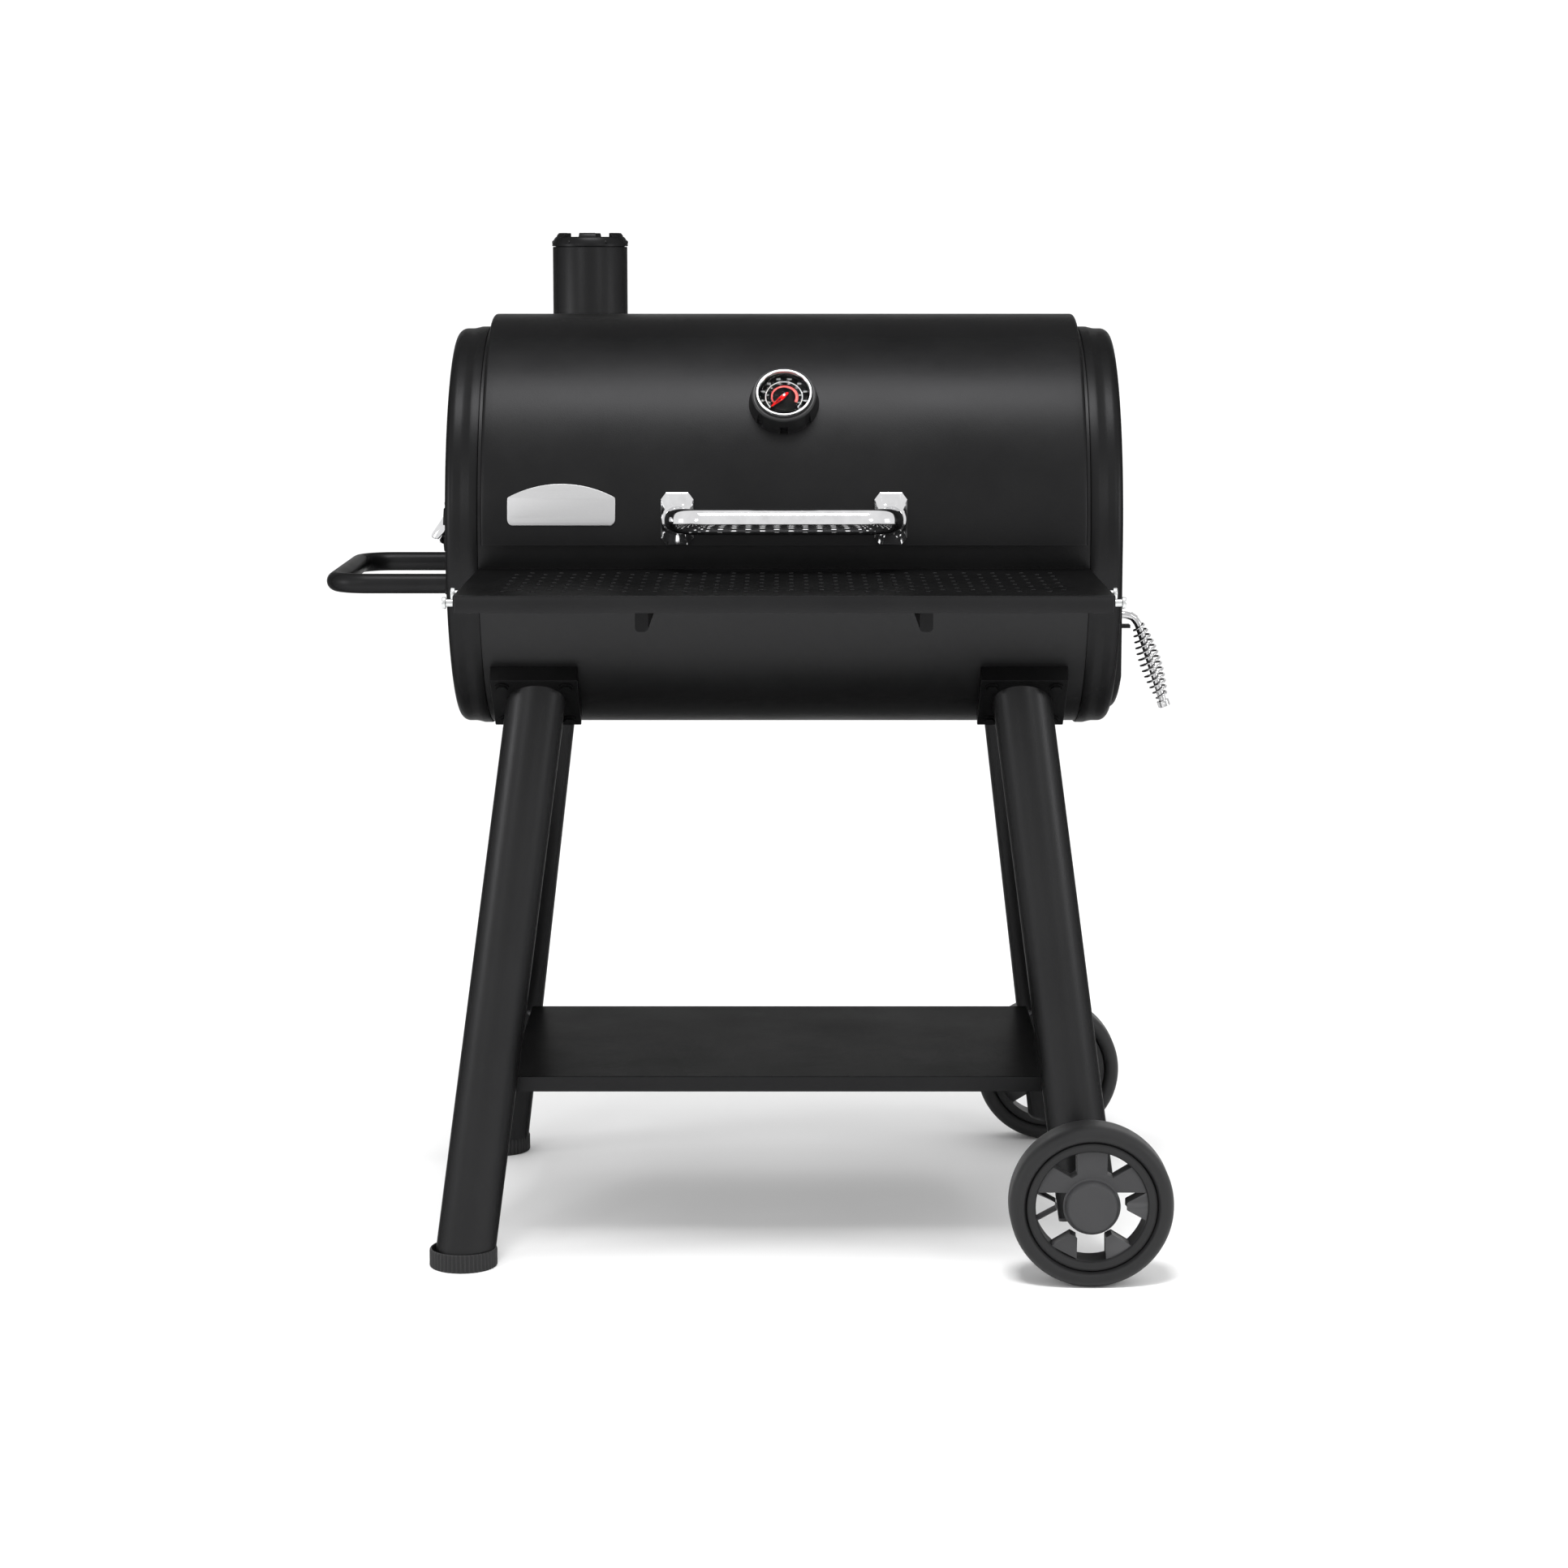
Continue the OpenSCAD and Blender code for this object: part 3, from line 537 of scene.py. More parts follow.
right = piece("right_cap_shell", Build().add(lathe(cap_profile_fine(), 192), ON_X), BLACK, "stand", ["right_end_cap"])
poly = []
for k in range(61):
    a = math.radians(180 + 3 * k)
    poly.append((229 * math.cos(a), 229 * math.sin(a)))
poly = [(max(-125, min(178, x)), min(-45, y)) for x, y in poly]
clean = [poly[0]]
for p in poly[1:]:
    if (Vector(p) - Vector(clean[-1])).length > 0.5:
        clean.append(p)
carve(right, Build().add(prism(clean, 410, 440), ON_X))


# ------------------------------------------------------------------ lid
def arc_sweep(profile, phi0, phi1, n):
    """Closed profile of (r, x) swept round the barrel axis from phi0 to phi1."""
    verts, faces = [], []
    m = len(profile)
    for i in range(n + 1):
        a = math.radians(phi0 + (phi1 - phi0) * i / n)
        for r, x in profile:
            verts.append((x, -r * math.cos(a), AX_Z + r * math.sin(a)))
    for i in range(n):
        for k in range(m):
            l = (k + 1) % m
            faces.append([i * m + k, i * m + l, (i + 1) * m + l, (i + 1) * m + k])
    faces.append([k for k in range(m)][::-1])
    faces.append([n * m + k for k in range(m)])
    return verts, faces


def lid_profile():
    out = []
    for s in (-1, 1):
        half = []
        half.append((260.6, s * 380))
        half.append((268, s * 380))
        for k in range(9):
            a = math.radians(90 * k / 8)
            half.append((LID_R - 4.5 + 4.5 * math.sin(a), s * (375.5 + 4.5 * math.cos(a))))
        for x in (365, 300, 200, 100):
            half.append((LID_R, s * x))
        inner = [(LID_R - 2.5, s * 100), (LID_R - 2.5, s * 200), (LID_R - 2.5, s * 300), (LID_R - 2.5, s * 365)]
        for k in range(9):
            a = math.radians(90 - 90 * k / 8)
            inner.append((LID_R - 4.5 + 2.0 * math.sin(a), s * (375.5 + 2.0 * math.cos(a))))
        inner.append((268, s * 377.5))
        inner.append((260.6, s * 377.5))
        out.append((half, inner))
    (lh, li), (rh, ri) = out
    return lh + [(LID_R, 0)] + rh[::-1] + ri[::-1] + [(LID_R - 2.5, 0)] + li


lid = Build().add(arc_sweep(lid_profile(), -1, 118, 150))
lid_o = piece("lid_skin", lid, BLACK, "lid", ["lid"], sharp=50)
carve(lid_o, Build().add(lathe([(0, 240), (4.4, 240), (4.4, 300), (0, 300)], 24), at_phi(THERMO, 0)))

# ------------------------------------------------------------------ lid handle and posts
HX, HY, HZ = 133.4, -336.0, 954.0
path = [(-HX, HY + 44.5, HZ), (-HX, HY + 40, HZ)]
for k in range(1, 17):
    a = math.radians(90 * k / 16)
    path.append((-HX + 40 - 40 * math.cos(a), HY + 40 - 40 * math.sin(a), HZ))
path += [(x, HY, HZ) for x in (-60, -30, 0, 30, 60)]
for k in range(16, -1, -1):
    a = math.radians(90 * k / 16)
    path.append((HX - 40 + 40 * math.cos(a), HY + 40 - 40 * math.sin(a), HZ))
path.append((HX, HY + 44.5, HZ))
piece("lid_handle_bar", Build().add(tube(path, 16, 48)), CHROME, "lid", ["lid_handle"])

posts = Build()
for s in (-1, 1):
    def ring(hw, hh, c, y, k):
        """Octagon of half width hw and half height hh with corner cut c, sampled with 64 points; k blends it to a circle."""
        oct8 = [(-hw, -hh + c), (-hw + c * 0.75, -hh), (hw - c * 0.75, -hh), (hw, -hh + c), (hw, hh - c), (hw - c * 0.75, hh), (-hw + c * 0.75, hh), (-hw, hh - c)]
        pts = []
        for i in range(64):
            t = i / 64 * 8
            a, f = int(t), t - int(t)
            p, q = oct8[a], oct8[(a + 1) % 8]
            pts.append((p[0] + (q[0] - p[0]) * f, p[1] + (q[1] - p[1]) * f))
        out = []
        for (x, z) in pts:
            ang = math.atan2(z, x)
            cx, cz = 18.5 * math.cos(ang), 18.5 * math.sin(ang)
            x2, z2 = x + (cx - x) * k, z + (cz - z) * k
            if y is None:
                zz = HZ + z2 - AX_Z
                yy = -math.sqrt(277.2 ** 2 - zz ** 2)
            else:
                zz = HZ + z2 - AX_Z
                yy = min(y, -math.sqrt(277.6 ** 2 - zz ** 2))
            out.append((s * HX + x2, yy, HZ + z2))
        return out

    posts.add(loft([ring(20.5, 33, 9, None, 0), ring(20.5, 33, 9, -280.2, 0), ring(19.6, 32, 9, -281.2, 0.0), ring(18.6, 27, 8.6, -283.8, 0.35),
                    ring(18, 22, 8, -286.6, 0.75), ring(18, 20, 7, -288.2, 1.0), ring(18, 20, 7, -289.2, 1.0)]))
    posts.add(lathe([(0, 0), (18.6, 0), (19.4, 0.8), (19.4, 4.4), (18.6, 5.4), (16.2, 5.8), (15.6, 5.2), (0, 5.2)], 64),
              Matrix.Translation((s * HX, -288.8, HZ)) @ Matrix.Rotation(PI / 2, 4, "X"))
piece("lid_handle_post_pair", posts, CHROME, "lid", ["lid_handle_posts"], sharp=24)


# ------------------------------------------------------------------ thermometer
T = at_phi(THERMO, LID_R)
h = Build()
h.add(lathe([(39.0, -3.4), (44.4, -3.4), (44.2, 1.6), (43.6, 3.4), (41.0, 17.0), (40.2, 18.9), (38.9, 19.7), (37.2, 19.7), (35.6, 19.0), (35.4, 18.4), (35.4, 9.0), (10, 9.0), (10, -3.4)], 128, closed=True), T)
housing = piece("thermometer_cup", h, MAT["thermometer_black"], "lid", ["thermometer_housing"])
c = Build()
c.add(rbox(-5, 5, -50, -40.5, -5, 8.5, 1.0, 2), T)
for k in range(4):
    c.add(rbox(41.2, 50, -4.5, 4.5, -5, 30, 0.8, 2), T @ Matrix.Rotation(math.radians(45 + 90 * k), 4, "Z"))
carve(housing, c)

piece("thermometer_ring", Build().add(lathe([(31.9, 14.3), (35.3, 14.3), (35.3, 22.6), (35.0, 23.8), (34.3, 24.5), (33.3, 24.6), (32.5, 24.1), (31.9, 22.8)], 160, closed=True), T),
      CHROME, "lid", ["thermometer_bezel"])
d = Build()
d.add(lathe([(0, 9.15), (35.2, 9.15), (35.2, 13.9), (34.9, 14.1), (0, 14.1)], 128), T, 0)
d.add(lathe([(31.2, 14.05), (31.85, 14.05), (31.85, 20.5), (31.6, 20.5)], 128, closed=True), T, 0)


def arc_band(r0, r1a, r1b, d0, d1, z, thick=0.1, n=60):
    """Flat band from direction d0 to d1 in degrees, from r0 out to r1a at its start and r1b at its end."""
    poly = []
    for k in range(n + 1):
        t = k / n
        a = math.radians(d0 + (d1 - d0) * t)
        poly.append((r0 * math.cos(a), r0 * math.sin(a)))
    for k in range(n, -1, -1):
        t = k / n
        a = math.radians(d0 + (d1 - d0) * t)
        r = r1a + (r1b - r1a) * t
        poly.append((r * math.cos(a), r * math.sin(a)))
    verts = [(x, y, z) for x, y in poly] + [(x, y, z + thick) for x, y in poly]
    m = len(poly)
    faces = []
    for k in range(n):
        a, b2, c2, e = k, k + 1, m - 2 - k, m - 1 - k
        faces.append([a, b2, c2, e][::-1])
        faces.append([a + m, b2 + m, c2 + m, e + m])
    for k in range(m):
        l = (k + 1) % m
        faces.append([k, l, l + m, k + m])
    return verts, faces


D0, D1 = 222.0, -42.0
d.add(arc_band(14.6, 15.9, 18.3, 212, -28, 14.06), T, 2)
d.add(arc_band(22.6, 23.3, 23.3, D0, D1, 14.06), T, 1)
for k in range(37):
    a = D0 + (D1 - D0) * k / 36
    major = k % 4 == 0
    ln = 1.7 if major else 0.9
    w2 = 0.34 if major else 0.18
    d.add(rbox(23.2, 23.2 + ln, -w2, w2, 14.05, 14.18, 0), T @ Matrix.Rotation(math.radians(a), 4, "Z"), 1)
for k in range(10):
    a = math.radians(D0 + (D1 - D0) * k / 9)
    d.add(word(str(50 * k), 3.5, 27.8 * math.cos(a), 27.8 * math.sin(a), 14.12), T, 1)
for k in range(8):
    a = math.radians(D0 + (D1 - D0) * (k + 0.5) / 8)
    d.add(word(str(30 * k + 20), 2.3, 20.4 * math.cos(a), 20.4 * math.sin(a), 14.12), T, 1)
piece("thermometer_face", d, [MAT["dial"], MAT["dial_white"], MAT["dial_red"]], "lid", ["thermometer_dial"], weld=0.0001)

NT = T @ Matrix.Rotation(math.radians(225), 4, "Z")
nd = Build()
nd.add(lathe([(1.27, 15.4), (2.5, 15.4), (2.6, 15.7), (2.6, 17.0), (2.2, 17.4), (1.27, 17.4)], 40, closed=True), NT, 0)
outer = [(-7, -1.3), (5, -2.9), (22.5, -0.5), (22.5, 0.5), (5, 2.9), (-7, 1.3)]
inner = [(5.8, -1.5), (15.5, -0.6), (15.5, 0.6), (5.8, 1.5)]
nd.add(plate(outer, [inner], 0.8, 0.12, 1), NT @ Matrix.Translation((0, 0, 16.0)), 0)
piece("thermometer_pointer", nd, [MAT["needle_red"], MAT["dial_white"]], "needle", ["thermometer_needle"])
piece("thermometer_window", Build().add(lathe([(0, 21.0), (31.8, 21.0), (31.85, 21.2), (31.85, 22.2), (31.6, 22.6), (0, 22.6)], 96), T), MAT["glass"], "lid", ["thermometer_glass"])


# ------------------------------------------------------------------ badge, blank
def badge_outline(o=0.0):
    pts = []
    hw, low, top_c, R = 67.5 - o, -25.4 + o, -113.0, 140.0 - o
    xs = [hw - 2 * hw * k / 40 for k in range(41)]
    side = 6.0
    pts += round_poly([(-hw, low), (hw, low), (hw, top_c + math.sqrt(R * R - hw * hw))] + [(x, top_c + math.sqrt(R * R - x * x)) for x in xs[1:-1]]
                      + [(-hw, top_c + math.sqrt(R * R - hw * hw))], [7.5, 7.5, 7.0] + [0] * 39 + [7.0], 8)
    return pts


def badge_mesh():
    v1, f1 = plate(badge_outline(), [], 1.7, 0.8, 3)
    bm = bmesh.new()
    vs = [bm.verts.new(p) for p in v1]
    for f in f1:
        try:
            bm.faces.new([vs[i] for i in f])
        except ValueError:
            pass
    bmesh.ops.remove_doubles(bm, verts=bm.verts, dist=0.001)
    for k in range(-9, 10):
        bmesh.ops.bisect_plane(bm, geom=bm.verts[:] + bm.edges[:] + bm.faces[:], plane_co=(0, k * 3.0 + 0.07, 0), plane_no=(0, 1, 0))
    bm.verts.index_update()
    out, faces = [], [[v.index for v in f.verts] for f in bm.faces]
    for v in bm.verts:
        a = (v.co.y + 45) / LID_R
        r = LID_R + 0.95 + v.co.z
        out.append((-278.5 + v.co.x, -r * math.cos(a), AX_Z + r * math.sin(a)))
    bm.free()
    return out, faces


piece("badge_blank", Build().add(badge_mesh()), MAT["badge"], "lid", ["badge_plate"], sharp=30)


# ------------------------------------------------------------------ chimney
CH = Matrix.Translation((-270, 295, 0))
piece("chimney_flue", Build().add(lathe([(51.9, 1050.15), (51.9, 1289.6), (51.6, 1290.6), (50.9, 1291), (50.2, 1290.6), (49.9, 1289.6), (49.9, 1050.15)], 128, closed=True), CH),
      BLACK, "stand", ["chimney_pipe"])
cc = Build()
CT = Matrix.Translation((-270, 295, 1291))
cc.add(lathe([(44.0, 1.5), (44.0, -5), (48.3, -5), (48.3, 0.6), (52.3, 0.6), (52.7, 1.0), (52.7, 3.0), (52.5, 4.2), (52.0, 5.6), (51.3, 7.6), (50.4, 9.6), (49.3, 11.4), (48.1, 12.8), (47.3, 13.3), (46.8, 13.6),
              (40.4, 13.6), (39.4, 13.0), (39.4, 4), (6.6, 4), (6.5, 1.5)], 144, closed=True), CT)
tabs = Build()
for k in range(6):
    tabs.add(lathe([(40.4, 13.2), (47.4, 13.2), (46.6, 15.4), (45.4, 17.2), (44.2, 18.4), (43.2, 18.95), (41.4, 18.95), (40.4, 18.3)], 14, 60 * k - 90 - 2 - 14.6, 60 * k - 90 - 2 + 14.6, closed=True), CT)
for k in range(6):
    a = math.radians(60 * k - 90 + 28)
    tabs.add(lathe([(0, 0), (2.4, 0), (2.4, 0.5), (1.6, 1.3), (0, 1.6)], 20), CT @ Matrix.Translation((51.5 * math.cos(a), 51.5 * math.sin(a), 6.4)) @ Matrix.Rotation(a, 4, "Z") @ Matrix.Rotation(math.radians(72), 4, "Y"))
cap_o = piece("chimney_crown", cc, BLACK, "chimney_cap", ["chimney_cap"])
piece("chimney_crown_tabs", tabs, BLACK, "chimney_cap", bevel=0.5)
ho = Build()
for k in range(4):
    ho.add(sector(12, 36, 90 * k, 21, -6, 8), CT)
ho.add(lathe([(0, -4), (3.1, -4), (3.1, 6), (0, 6)], 24), CT)
# the sector openings stay in the lower disc
carve(cap_o, ho)


# ------------------------------------------------------------------ front shelf with slots
def slot_outline(cx, cy, l, w):
    return round_poly([(cx - w / 2, cy - l / 2), (cx + w / 2, cy - l / 2), (cx + w / 2, cy + l / 2), (cx - w / 2, cy + l / 2)], 1.6, 3)


SF, SB, SZ = -616.0, -257.6, 889.0
holes = []
for i in range(38):
    x = -331 + 17.89 * i
    for j in range(6):
        holes.append(slot_outline(x, SF + 56 + (22.5 if i % 2 else 0) + 45 * j, 13, 6.4))
sh = Build()
sh.add(plate(round_poly([(-385, SF), (385, SF), (385, SB), (-385, SB)], [5, 5, 0.6, 0.6], 5), holes, 2.0, 0.55, 2), Matrix.Translation((0, 0, SZ - 1.0)))


def lip(x0, y0, x1, y1, inset=2.0, hgt=20.0):
    a, b = Vector((x0, y0, 0)), Vector((x1, y1, 0))
    d = (b - a).normalized()
    n = Vector((d.y, -d.x, 0))
    return a, b, d, n


sh.add(rbox(-382, 382, SF, SF + 2, SZ - 20, SZ - 1.2, 0.5, 2))
sh.add(tube([(-380.5, SF + 1.75, SZ - 1.75), (-200, SF + 1.75, SZ - 1.75), (0, SF + 1.75, SZ - 1.75), (200, SF + 1.75, SZ - 1.75), (380.5, SF + 1.75, SZ - 1.75)], 1.75, 24))
sh.add(rbox(-385, -383, SF + 3, SB, SZ - 20, SZ - 1.2, 0.5, 2))
sh.add(rbox(383, 385, SF + 3, SB, SZ - 20, SZ - 1.2, 0.5, 2))
for s in (-1, 1):
    co = []
    for k in range(7):
        a = math.radians(15 * k)
        co.append((s * (380 + 5 * math.cos(a)), SF + 5 - 5 * math.sin(a)))
    for k in range(6, -1, -1):
        a = math.radians(15 * k)
        co.append((s * (380 + 3 * math.cos(a)), SF + 5 - 3 * math.sin(a)))
    sh.add(prism(co, SZ - 20, SZ - 1.2))
piece("front_shelf_tray", sh, BLACK, "stand", ["front_shelf"], sharp=30)


# ------------------------------------------------------------------ tool pegs
pg = Build()
for s in (-1, 1):
    for y in (-595, -480):
        m = Matrix(((0, 0, s, s * 385.1), (s, 0, 0, y), (0, 1, 0, SZ - 10), (0, 0, 0, 1)))
        pg.add(lathe([(0, 0), (4.25, 0), (4.25, 8.9), (6.2, 9.0), (6.8, 9.4), (7.0, 10.0), (7.0, 13.0), (6.8, 13.6), (6.2, 13.9), (0, 14.0)], 40), m)
piece("tool_pegs", pg, MAT["zinc"], "stand", ["tool_hooks"], sharp=50)


# ------------------------------------------------------------------ side handle on the left
SHZ = AX_Z - 62.5
hp = [(-CAP_X - 4.0, 170, SHZ), (-480, 170, SHZ), (-520, 170, SHZ), (-534, 170, SHZ)]
for k in range(1, 17):
    a = math.radians(90 * k / 16)
    hp.append((-534 - 45 * math.sin(a), 125 + 45 * math.cos(a), SHZ))
hp += [(-579, y, SHZ) for y in (80, 40, 0, -40, -80)]
for k in range(16, -1, -1):
    a = math.radians(90 * k / 16)
    hp.append((-534 - 45 * math.sin(a), -125 - 45 * math.cos(a), SHZ))
hp += [(-520, -170, SHZ), (-480, -170, SHZ), (-CAP_X - 4.0, -170, SHZ)]
piece("side_handle_bar", Build().add(tube(hp, 12.7, 40)), BLACK, "stand", ["side_handle"])
fl = Build()
for s in (-1, 1):
    m = Matrix(((0, 0, -1, -CAP_X - 0.1), (-1, 0, 0, s * 170), (0, 1, 0, SHZ), (0, 0, 0, 1)))
    fl.add(lathe([(0, 0), (24, 0), (24, 3.0), (23.2, 3.9), (14.2, 4.0), (13.4, 4.0), (0, 4.0)], 72), m)
    for k in range(3):
        a = math.radians(90 + 120 * k)
        fl.add(lathe([(0, 3.9), (3.6, 3.9), (3.6, 4.6), (2.6, 5.9), (0, 6.3)], 20), m @ Matrix.Translation((18.6 * math.cos(a), 18.6 * math.sin(a), 0)))
piece("side_handle_flange_pair", fl, BLACK, "stand", ["side_handle_flanges"])


# ------------------------------------------------------------------ left damper
dc = Build()
dc.add(lathe([(4.1, 0.5), (40.4, 0.5), (41, 1.1), (41, 16.2), (40.4, 17.6), (37.6, 21.3), (36.6, 22), (33.6, 22), (33, 21.4), (33, 4.6), (32.4, 4), (4.1, 4)], 96, closed=True), LEFT_X)
damper = piece("damper_drum", dc, BLACK, "damper", ["damper_cap"])
c = Build()
for k in range(4):
    c.add(sector(13, 31, 90 * k, 21, -5, 8), LEFT_X)
for k in range(6):
    c.add(rbox(28, 60, -7, 7, 17.6, 30, 1.0, 2), LEFT_X @ Matrix.Rotation(math.radians(60 * k), 4, "Z"))
carve(damper, c)
kb = Build()
kb.add(lathe([(0, 3.9), (9.6, 3.9), (10, 4.3), (10, 10.2), (9.2, 11.4), (8.0, 12.4), (0, 12.4)], 48), LEFT_X)
ka, kb2 = Vector((-CAP_X - 13.0, 0, AX_Z + 9.5)), Vector((-CAP_X - 33.2, 0, AX_Z - 20.4))
dk = (kb2 - ka).normalized()
L = (kb2 - ka).length
kb.add(lathe([(0, 0), (8.6, 0), (9.8, 1.0), (10.6, 3.0), (11, 7), (11, L - 3.2), (10.6, L - 1.4), (9.6, L - 0.2), (8.8, L), (0, L)], 64), along(ka, kb2))
piece("damper_knob_chrome", kb, CHROME, "damper", ["damper_knob"], sharp=40)


# ------------------------------------------------------------------ door latch handle with coil grip
LX, LY, LZ = CAP_X + 10, -90.0, AX_Z - 110.5
ga, gb = Vector((LX + 24, LY, AX_Z - 117)), Vector((LX + 59.15, LY, AX_Z - 222.5))
gd = (gb - ga).normalized()
p0 = Vector((LX - 5, LY, LZ))
p1 = Vector((LX + 10, LY, LZ))
hpts = [p0, Vector((LX, LY, LZ)), Vector((LX + 6, LY, LZ))]
q1 = Vector((LX + 14, LY, LZ))


def bend(a, b, c, r_in, n=8):
    """Rounded corner points at b between a and c."""
    u, w = (a - b).normalized(), (c - b).normalized()
    s, e = b + u * r_in, b + w * r_in
    return [((1 - t) ** 2) * s + 2 * t * (1 - t) * b + t * t * e for t in [k / n for k in range(n + 1)]]


hpts += bend(p0, q1, ga, 10.0)
hpts += bend(q1, ga, gb, 10.5)
hpts += [ga + gd * t for t in (20, 40, 60, 80, (gb - ga).length + 2)]
lt = Build()
lt.add(tube(hpts, 4.9, 24))
lt.add(lathe([(0, 0), (7.2, 0), (8, 0.8), (8, 8.2), (7.2, 9), (0, 9)], 48), along(gb, gb + gd * 10))
lt.add(lathe([(0, 0), (9, 0), (9, 1.6), (8.4, 2), (0, 2)], 32), Matrix(((0, 0, 1, LX - 5), (1, 0, 0, LY), (0, 1, 0, LZ), (0, 0, 0, 1))))
lt.add(rbox(LX + 1, LX + 4, -156, -84, LZ - 5.5, LZ + 5.5, 0.8, 2))
latch_o = piece("door_latch_lever", lt, MAT["spring"], "door_handle", ["door_latch_handle"], sharp=40)
carve(latch_o, Build().add(lathe([(0, -12), (1.7, -12), (1.7, 12), (0, 12)], 20), Matrix.Translation(gb + gd * 4.6) @ Matrix.Rotation(PI / 2, 4, "X")))
coil = []
GL = (gb - ga).length
side = Vector((0, 1, 0))
third = gd.cross(side)
turns, n_t = 13.0, 24
for k in range(int(turns * n_t) + 1):
    t = k / (turns * n_t)
    r = 6.0 + 7.4 * math.sin(PI * t) ** 0.8
    a = 2 * PI * turns * t
    coil.append(ga + gd * (6.5 + t * (GL - 9.0)) + (side * math.cos(a) + third * math.sin(a)) * r)
piece("door_coil_grip", Build().add(tube(coil, 1.5, 12)), MAT["spring"], "door_handle", ["door_handle_grip"])


# ------------------------------------------------------------------ feet
def leg_at(z):
    top, foot = Vector((320, -168, AX_Z - 217.4)), Vector((410, -305, 0))
    return foot + (top - foot) * (z / top.z)


ft = Build()
for sy in (1, -1):
    c0 = leg_at(12) + Vector((1.9, 0, 0))
    n = 48 * 6

    def foot_ring(r, z, amp):
        return [(-(c0.x + (r - amp * (0.5 - 0.5 * math.cos(2 * PI * 48 * i / n))) * math.cos(2 * PI * i / n)),
                 sy * (c0.y + (r - amp * (0.5 - 0.5 * math.cos(2 * PI * 48 * i / n))) * math.sin(2 * PI * i / n)), z) for i in range(n)]

    rows = [(30, 0, 0), (41.6, 0, 0.0), (42.9, 0.8, 1.4), (43.4, 2.4, 1.9), (43.4, 20.6, 1.9), (43.0, 22.4, 1.6), (42.2, 23.6, 0.6), (41.2, 24.0, 0.0), (40.4, 23.4, 0), (40.2, 21, 0), (40.2, 5, 0), (30, 4.6, 0)]
    loops = [foot_ring(r, z, a) for r, z, a in rows]
    m = len(loops)
    base = len(ft.v)
    for lp in loops:
        for p in lp:
            ft.v.append(Vector(p))
    for i in range(m - 1):
        for k in range(n):
            l = (k + 1) % n
            ft.f.append([base + i * n + k, base + i * n + l, base + (i + 1) * n + l, base + (i + 1) * n + k])
            ft.m.append(0)
    ft.f.append([base + k for k in range(n)][::-1])
    ft.m.append(0)
    ft.f.append([base + (m - 1) * n + k for k in range(n)])
    ft.m.append(0)
piece("ribbed_feet", ft, MAT["foot_rubber"], "stand", ["leg_feet"], sharp=60)


# ------------------------------------------------------------------ wheels
def wheel(name, body, sy):
    W = Matrix.Translation((385, sy * 384, 103)) @ Matrix.Rotation(PI / 2 if sy < 0 else -PI / 2, 4, "X")
    ty = Build()
    prof = [(82.95, -20), (84.5, -25.5), (86.5, -28.2), (89.5, -28.9), (92.5, -28.9), (95.6, -28.0), (98.6, -26.0), (101.0, -23.0), (102.5, -19.2), (103, -15)]
    prof += [(103, -15 + 30 * k / 6) for k in range(1, 6)]
    prof += [(r, -z) for r, z in prof[:10][::-1]]
    ty.add(lathe(prof, 192, closed=True), W)
    piece(name + "_tyre_rubber", ty, MAT["tyre"], body, [name + "_tyre"], sharp=50)
    rm = Build()
    ring = lathe([(70.4, -21), (72, -22.6), (79, -22.9), (81.6, -22), (82.6, -20), (82.8, -17.5), (82.8, 17.5), (82.4, 20.4), (81.2, 22.0), (79.2, 22.6), (74.0, 21.4), (71.8, 20.4), (70.4, 18.6)], 192, closed=True)
    rm.add(ring, W, 1)
    holes = []
    for k in range(6):
        b = math.radians(60 * k)
        arc = [math.radians(-14.3 + 28.6 * t / 10) for t in range(11)]
        poly = [(44.5, -4.04)] + [(71.5 * math.cos(a), 71.5 * math.sin(a)) for a in arc] + [(44.5, 4.04)]
        poly = round_poly(poly, [1.0, 1.5] + [0] * 9 + [1.5, 1.0], 4)
        holes.append([(x * math.cos(b) - y * math.sin(b), x * math.sin(b) + y * math.cos(b)) for x, y in poly])
    rm.add(plate(circle2(71.6, 192), holes, 25, 0.9, 2), W @ Matrix.Translation((0, 0, 4.6)), 0)
    rm.add(lathe([(7.15, -26), (19, -26), (20.4, -25.4), (21, -24), (21, -9), (24, -8), (24, 10), (7.15, 10)], 72, closed=True), W, 1)
    rm.add(lathe([(0, 15), (36.0, 15), (36.0, 17.4), (35.0, 17.8), (34.0, 18.6), (33.6, 24.4), (33.0, 26.4), (31.4, 28.4), (29.9, 30.0), (29.0, 30.6), (27.6, 30.85), (0, 30.85)], 128), W, 0)
    piece(name + "_wheel_hub", rm, [MAT["wheel_grey"], MAT["tyre"]], body, [name + "_wheel_rim"], sharp=26)


wheel("front", "front_wheel", -1)
wheel("rear", "rear_wheel", 1)

# ------------------------------------------------------------------ edge radii on carried-over metalwork
soften(["leg_brackets", "bottom_shelf", "access_door", "shelf_brackets"], 1.1, 3)
soften(["leg_bracket_bolts", "door_catch", "door_hinge_leaves", "door_hinge_bases", "axle_nuts", "leg_end_caps", "damper_pivot", "chimney_pivot",
        "door_hinge_pins", "lid_hinge_pins", "lid_hinge_leaves", "lid_hinge_bases", "bottom_shelf_bolts"], 0.5, 2)

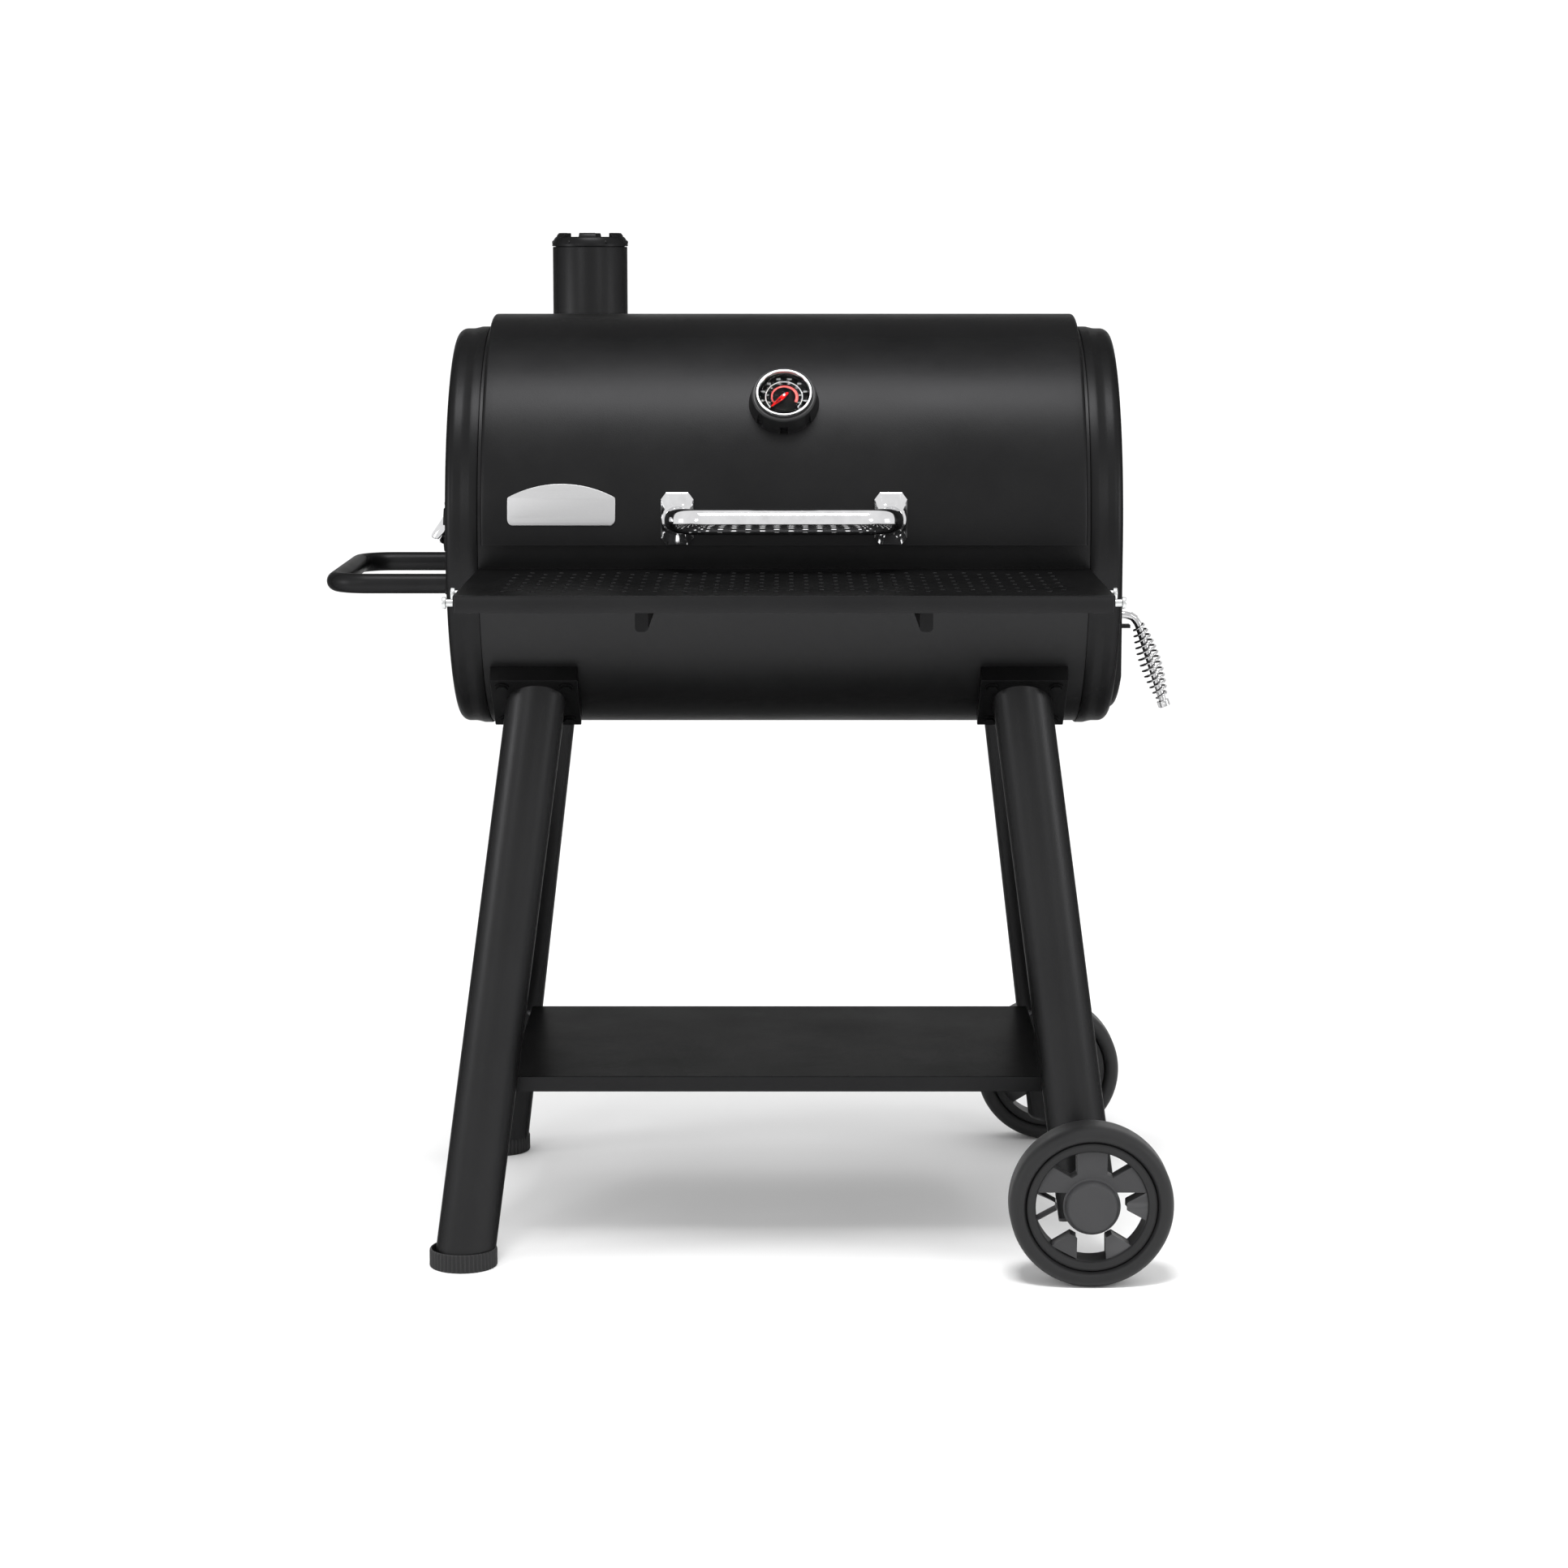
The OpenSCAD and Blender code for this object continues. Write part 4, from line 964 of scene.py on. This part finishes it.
# ------------------------------------------------------------------ floor, backdrop, lights, camera
me = bpy.data.meshes.new("studio_sweep")
pts, fc = [], []
rows = [(-9.0, 0.0)] + [(4.2 + 2.0 * math.sin(math.radians(6 * k)), 2.0 - 2.0 * math.cos(math.radians(6 * k))) for k in range(16)] + [(6.2, 7.0)]
for y, z in rows:
    pts += [(-11, y, z), (11, y, z)]
for i in range(len(rows) - 1):
    fc.append([2 * i, 2 * i + 1, 2 * i + 3, 2 * i + 2])
me.from_pydata(pts, [], fc)
me.polygons.foreach_set("use_smooth", [True] * len(me.polygons))
sweep = bpy.data.objects.new("studio_sweep", me)
bpy.context.scene.collection.objects.link(sweep)
fm, nt, b, tc = material("mat_studio_floor")
n = noise(nt, tc, 1.2, 2.0)
cr = ramp(nt, n.outputs["Fac"], [(0.2, (0.89, 0.89, 0.89)), (0.8, (0.905, 0.905, 0.905))])
nt.links.new(cr.outputs["Color"], b.inputs["Base Color"])
b.inputs["Roughness"].default_value = 0.75
me.materials.append(fm)

world = bpy.data.worlds.new("studio_world")
bpy.context.scene.world = world
world.use_nodes = True
world.node_tree.nodes["Background"].inputs["Color"].default_value = (1, 1, 1, 1)
world.node_tree.nodes["Background"].inputs["Strength"].default_value = 1.0


def area(name, loc, target, sx, sy, power):
    l = bpy.data.lights.new(name, "AREA")
    l.shape = "RECTANGLE"
    l.size, l.size_y = sx, sy
    l.energy = power
    o = bpy.data.objects.new(name, l)
    o.location = loc
    o.rotation_euler = (Vector(target) - Vector(loc)).to_track_quat("-Z", "Y").to_euler()
    bpy.context.scene.collection.objects.link(o)
    return o


key = area("key_softbox", (0.0, -0.85, 4.4), (0.0, 0.0, 0.95), 2.2, 1.2, 84)
key.visible_diffuse = False
area("strip_left", (-2.15, -3.5, 2.5), (0, 0, 1.1), 0.45, 1.2, 13)
area("strip_right", (2.15, -3.5, 2.5), (0, 0, 1.1), 0.45, 1.2, 11)
area("side_left", (-2.9, -0.9, 1.35), (0, 0, 1.0), 0.6, 0.9, 14)
area("side_right", (2.9, -0.9, 1.35), (0, 0, 1.0), 0.6, 0.9, 12)
fill = area("floor_fill", (0.0, -2.2, 4.5), (0.0, 0.3, 0.4), 1.3, 0.8, 190)
fill.visible_glossy = False

cam = bpy.data.cameras.new("photo_camera")
cam.lens = 83.26
cam.sensor_width = 36
cam.clip_end = 60
co = bpy.data.objects.new("photo_camera", cam)
co.location = (0.042555, -4.70925, 1.2847)
co.rotation_euler = (math.radians(90 - 8.357), 0, 0)
bpy.context.scene.collection.objects.link(co)
bpy.context.scene.camera = co
bpy.context.scene.view_settings.view_transform = "Standard"
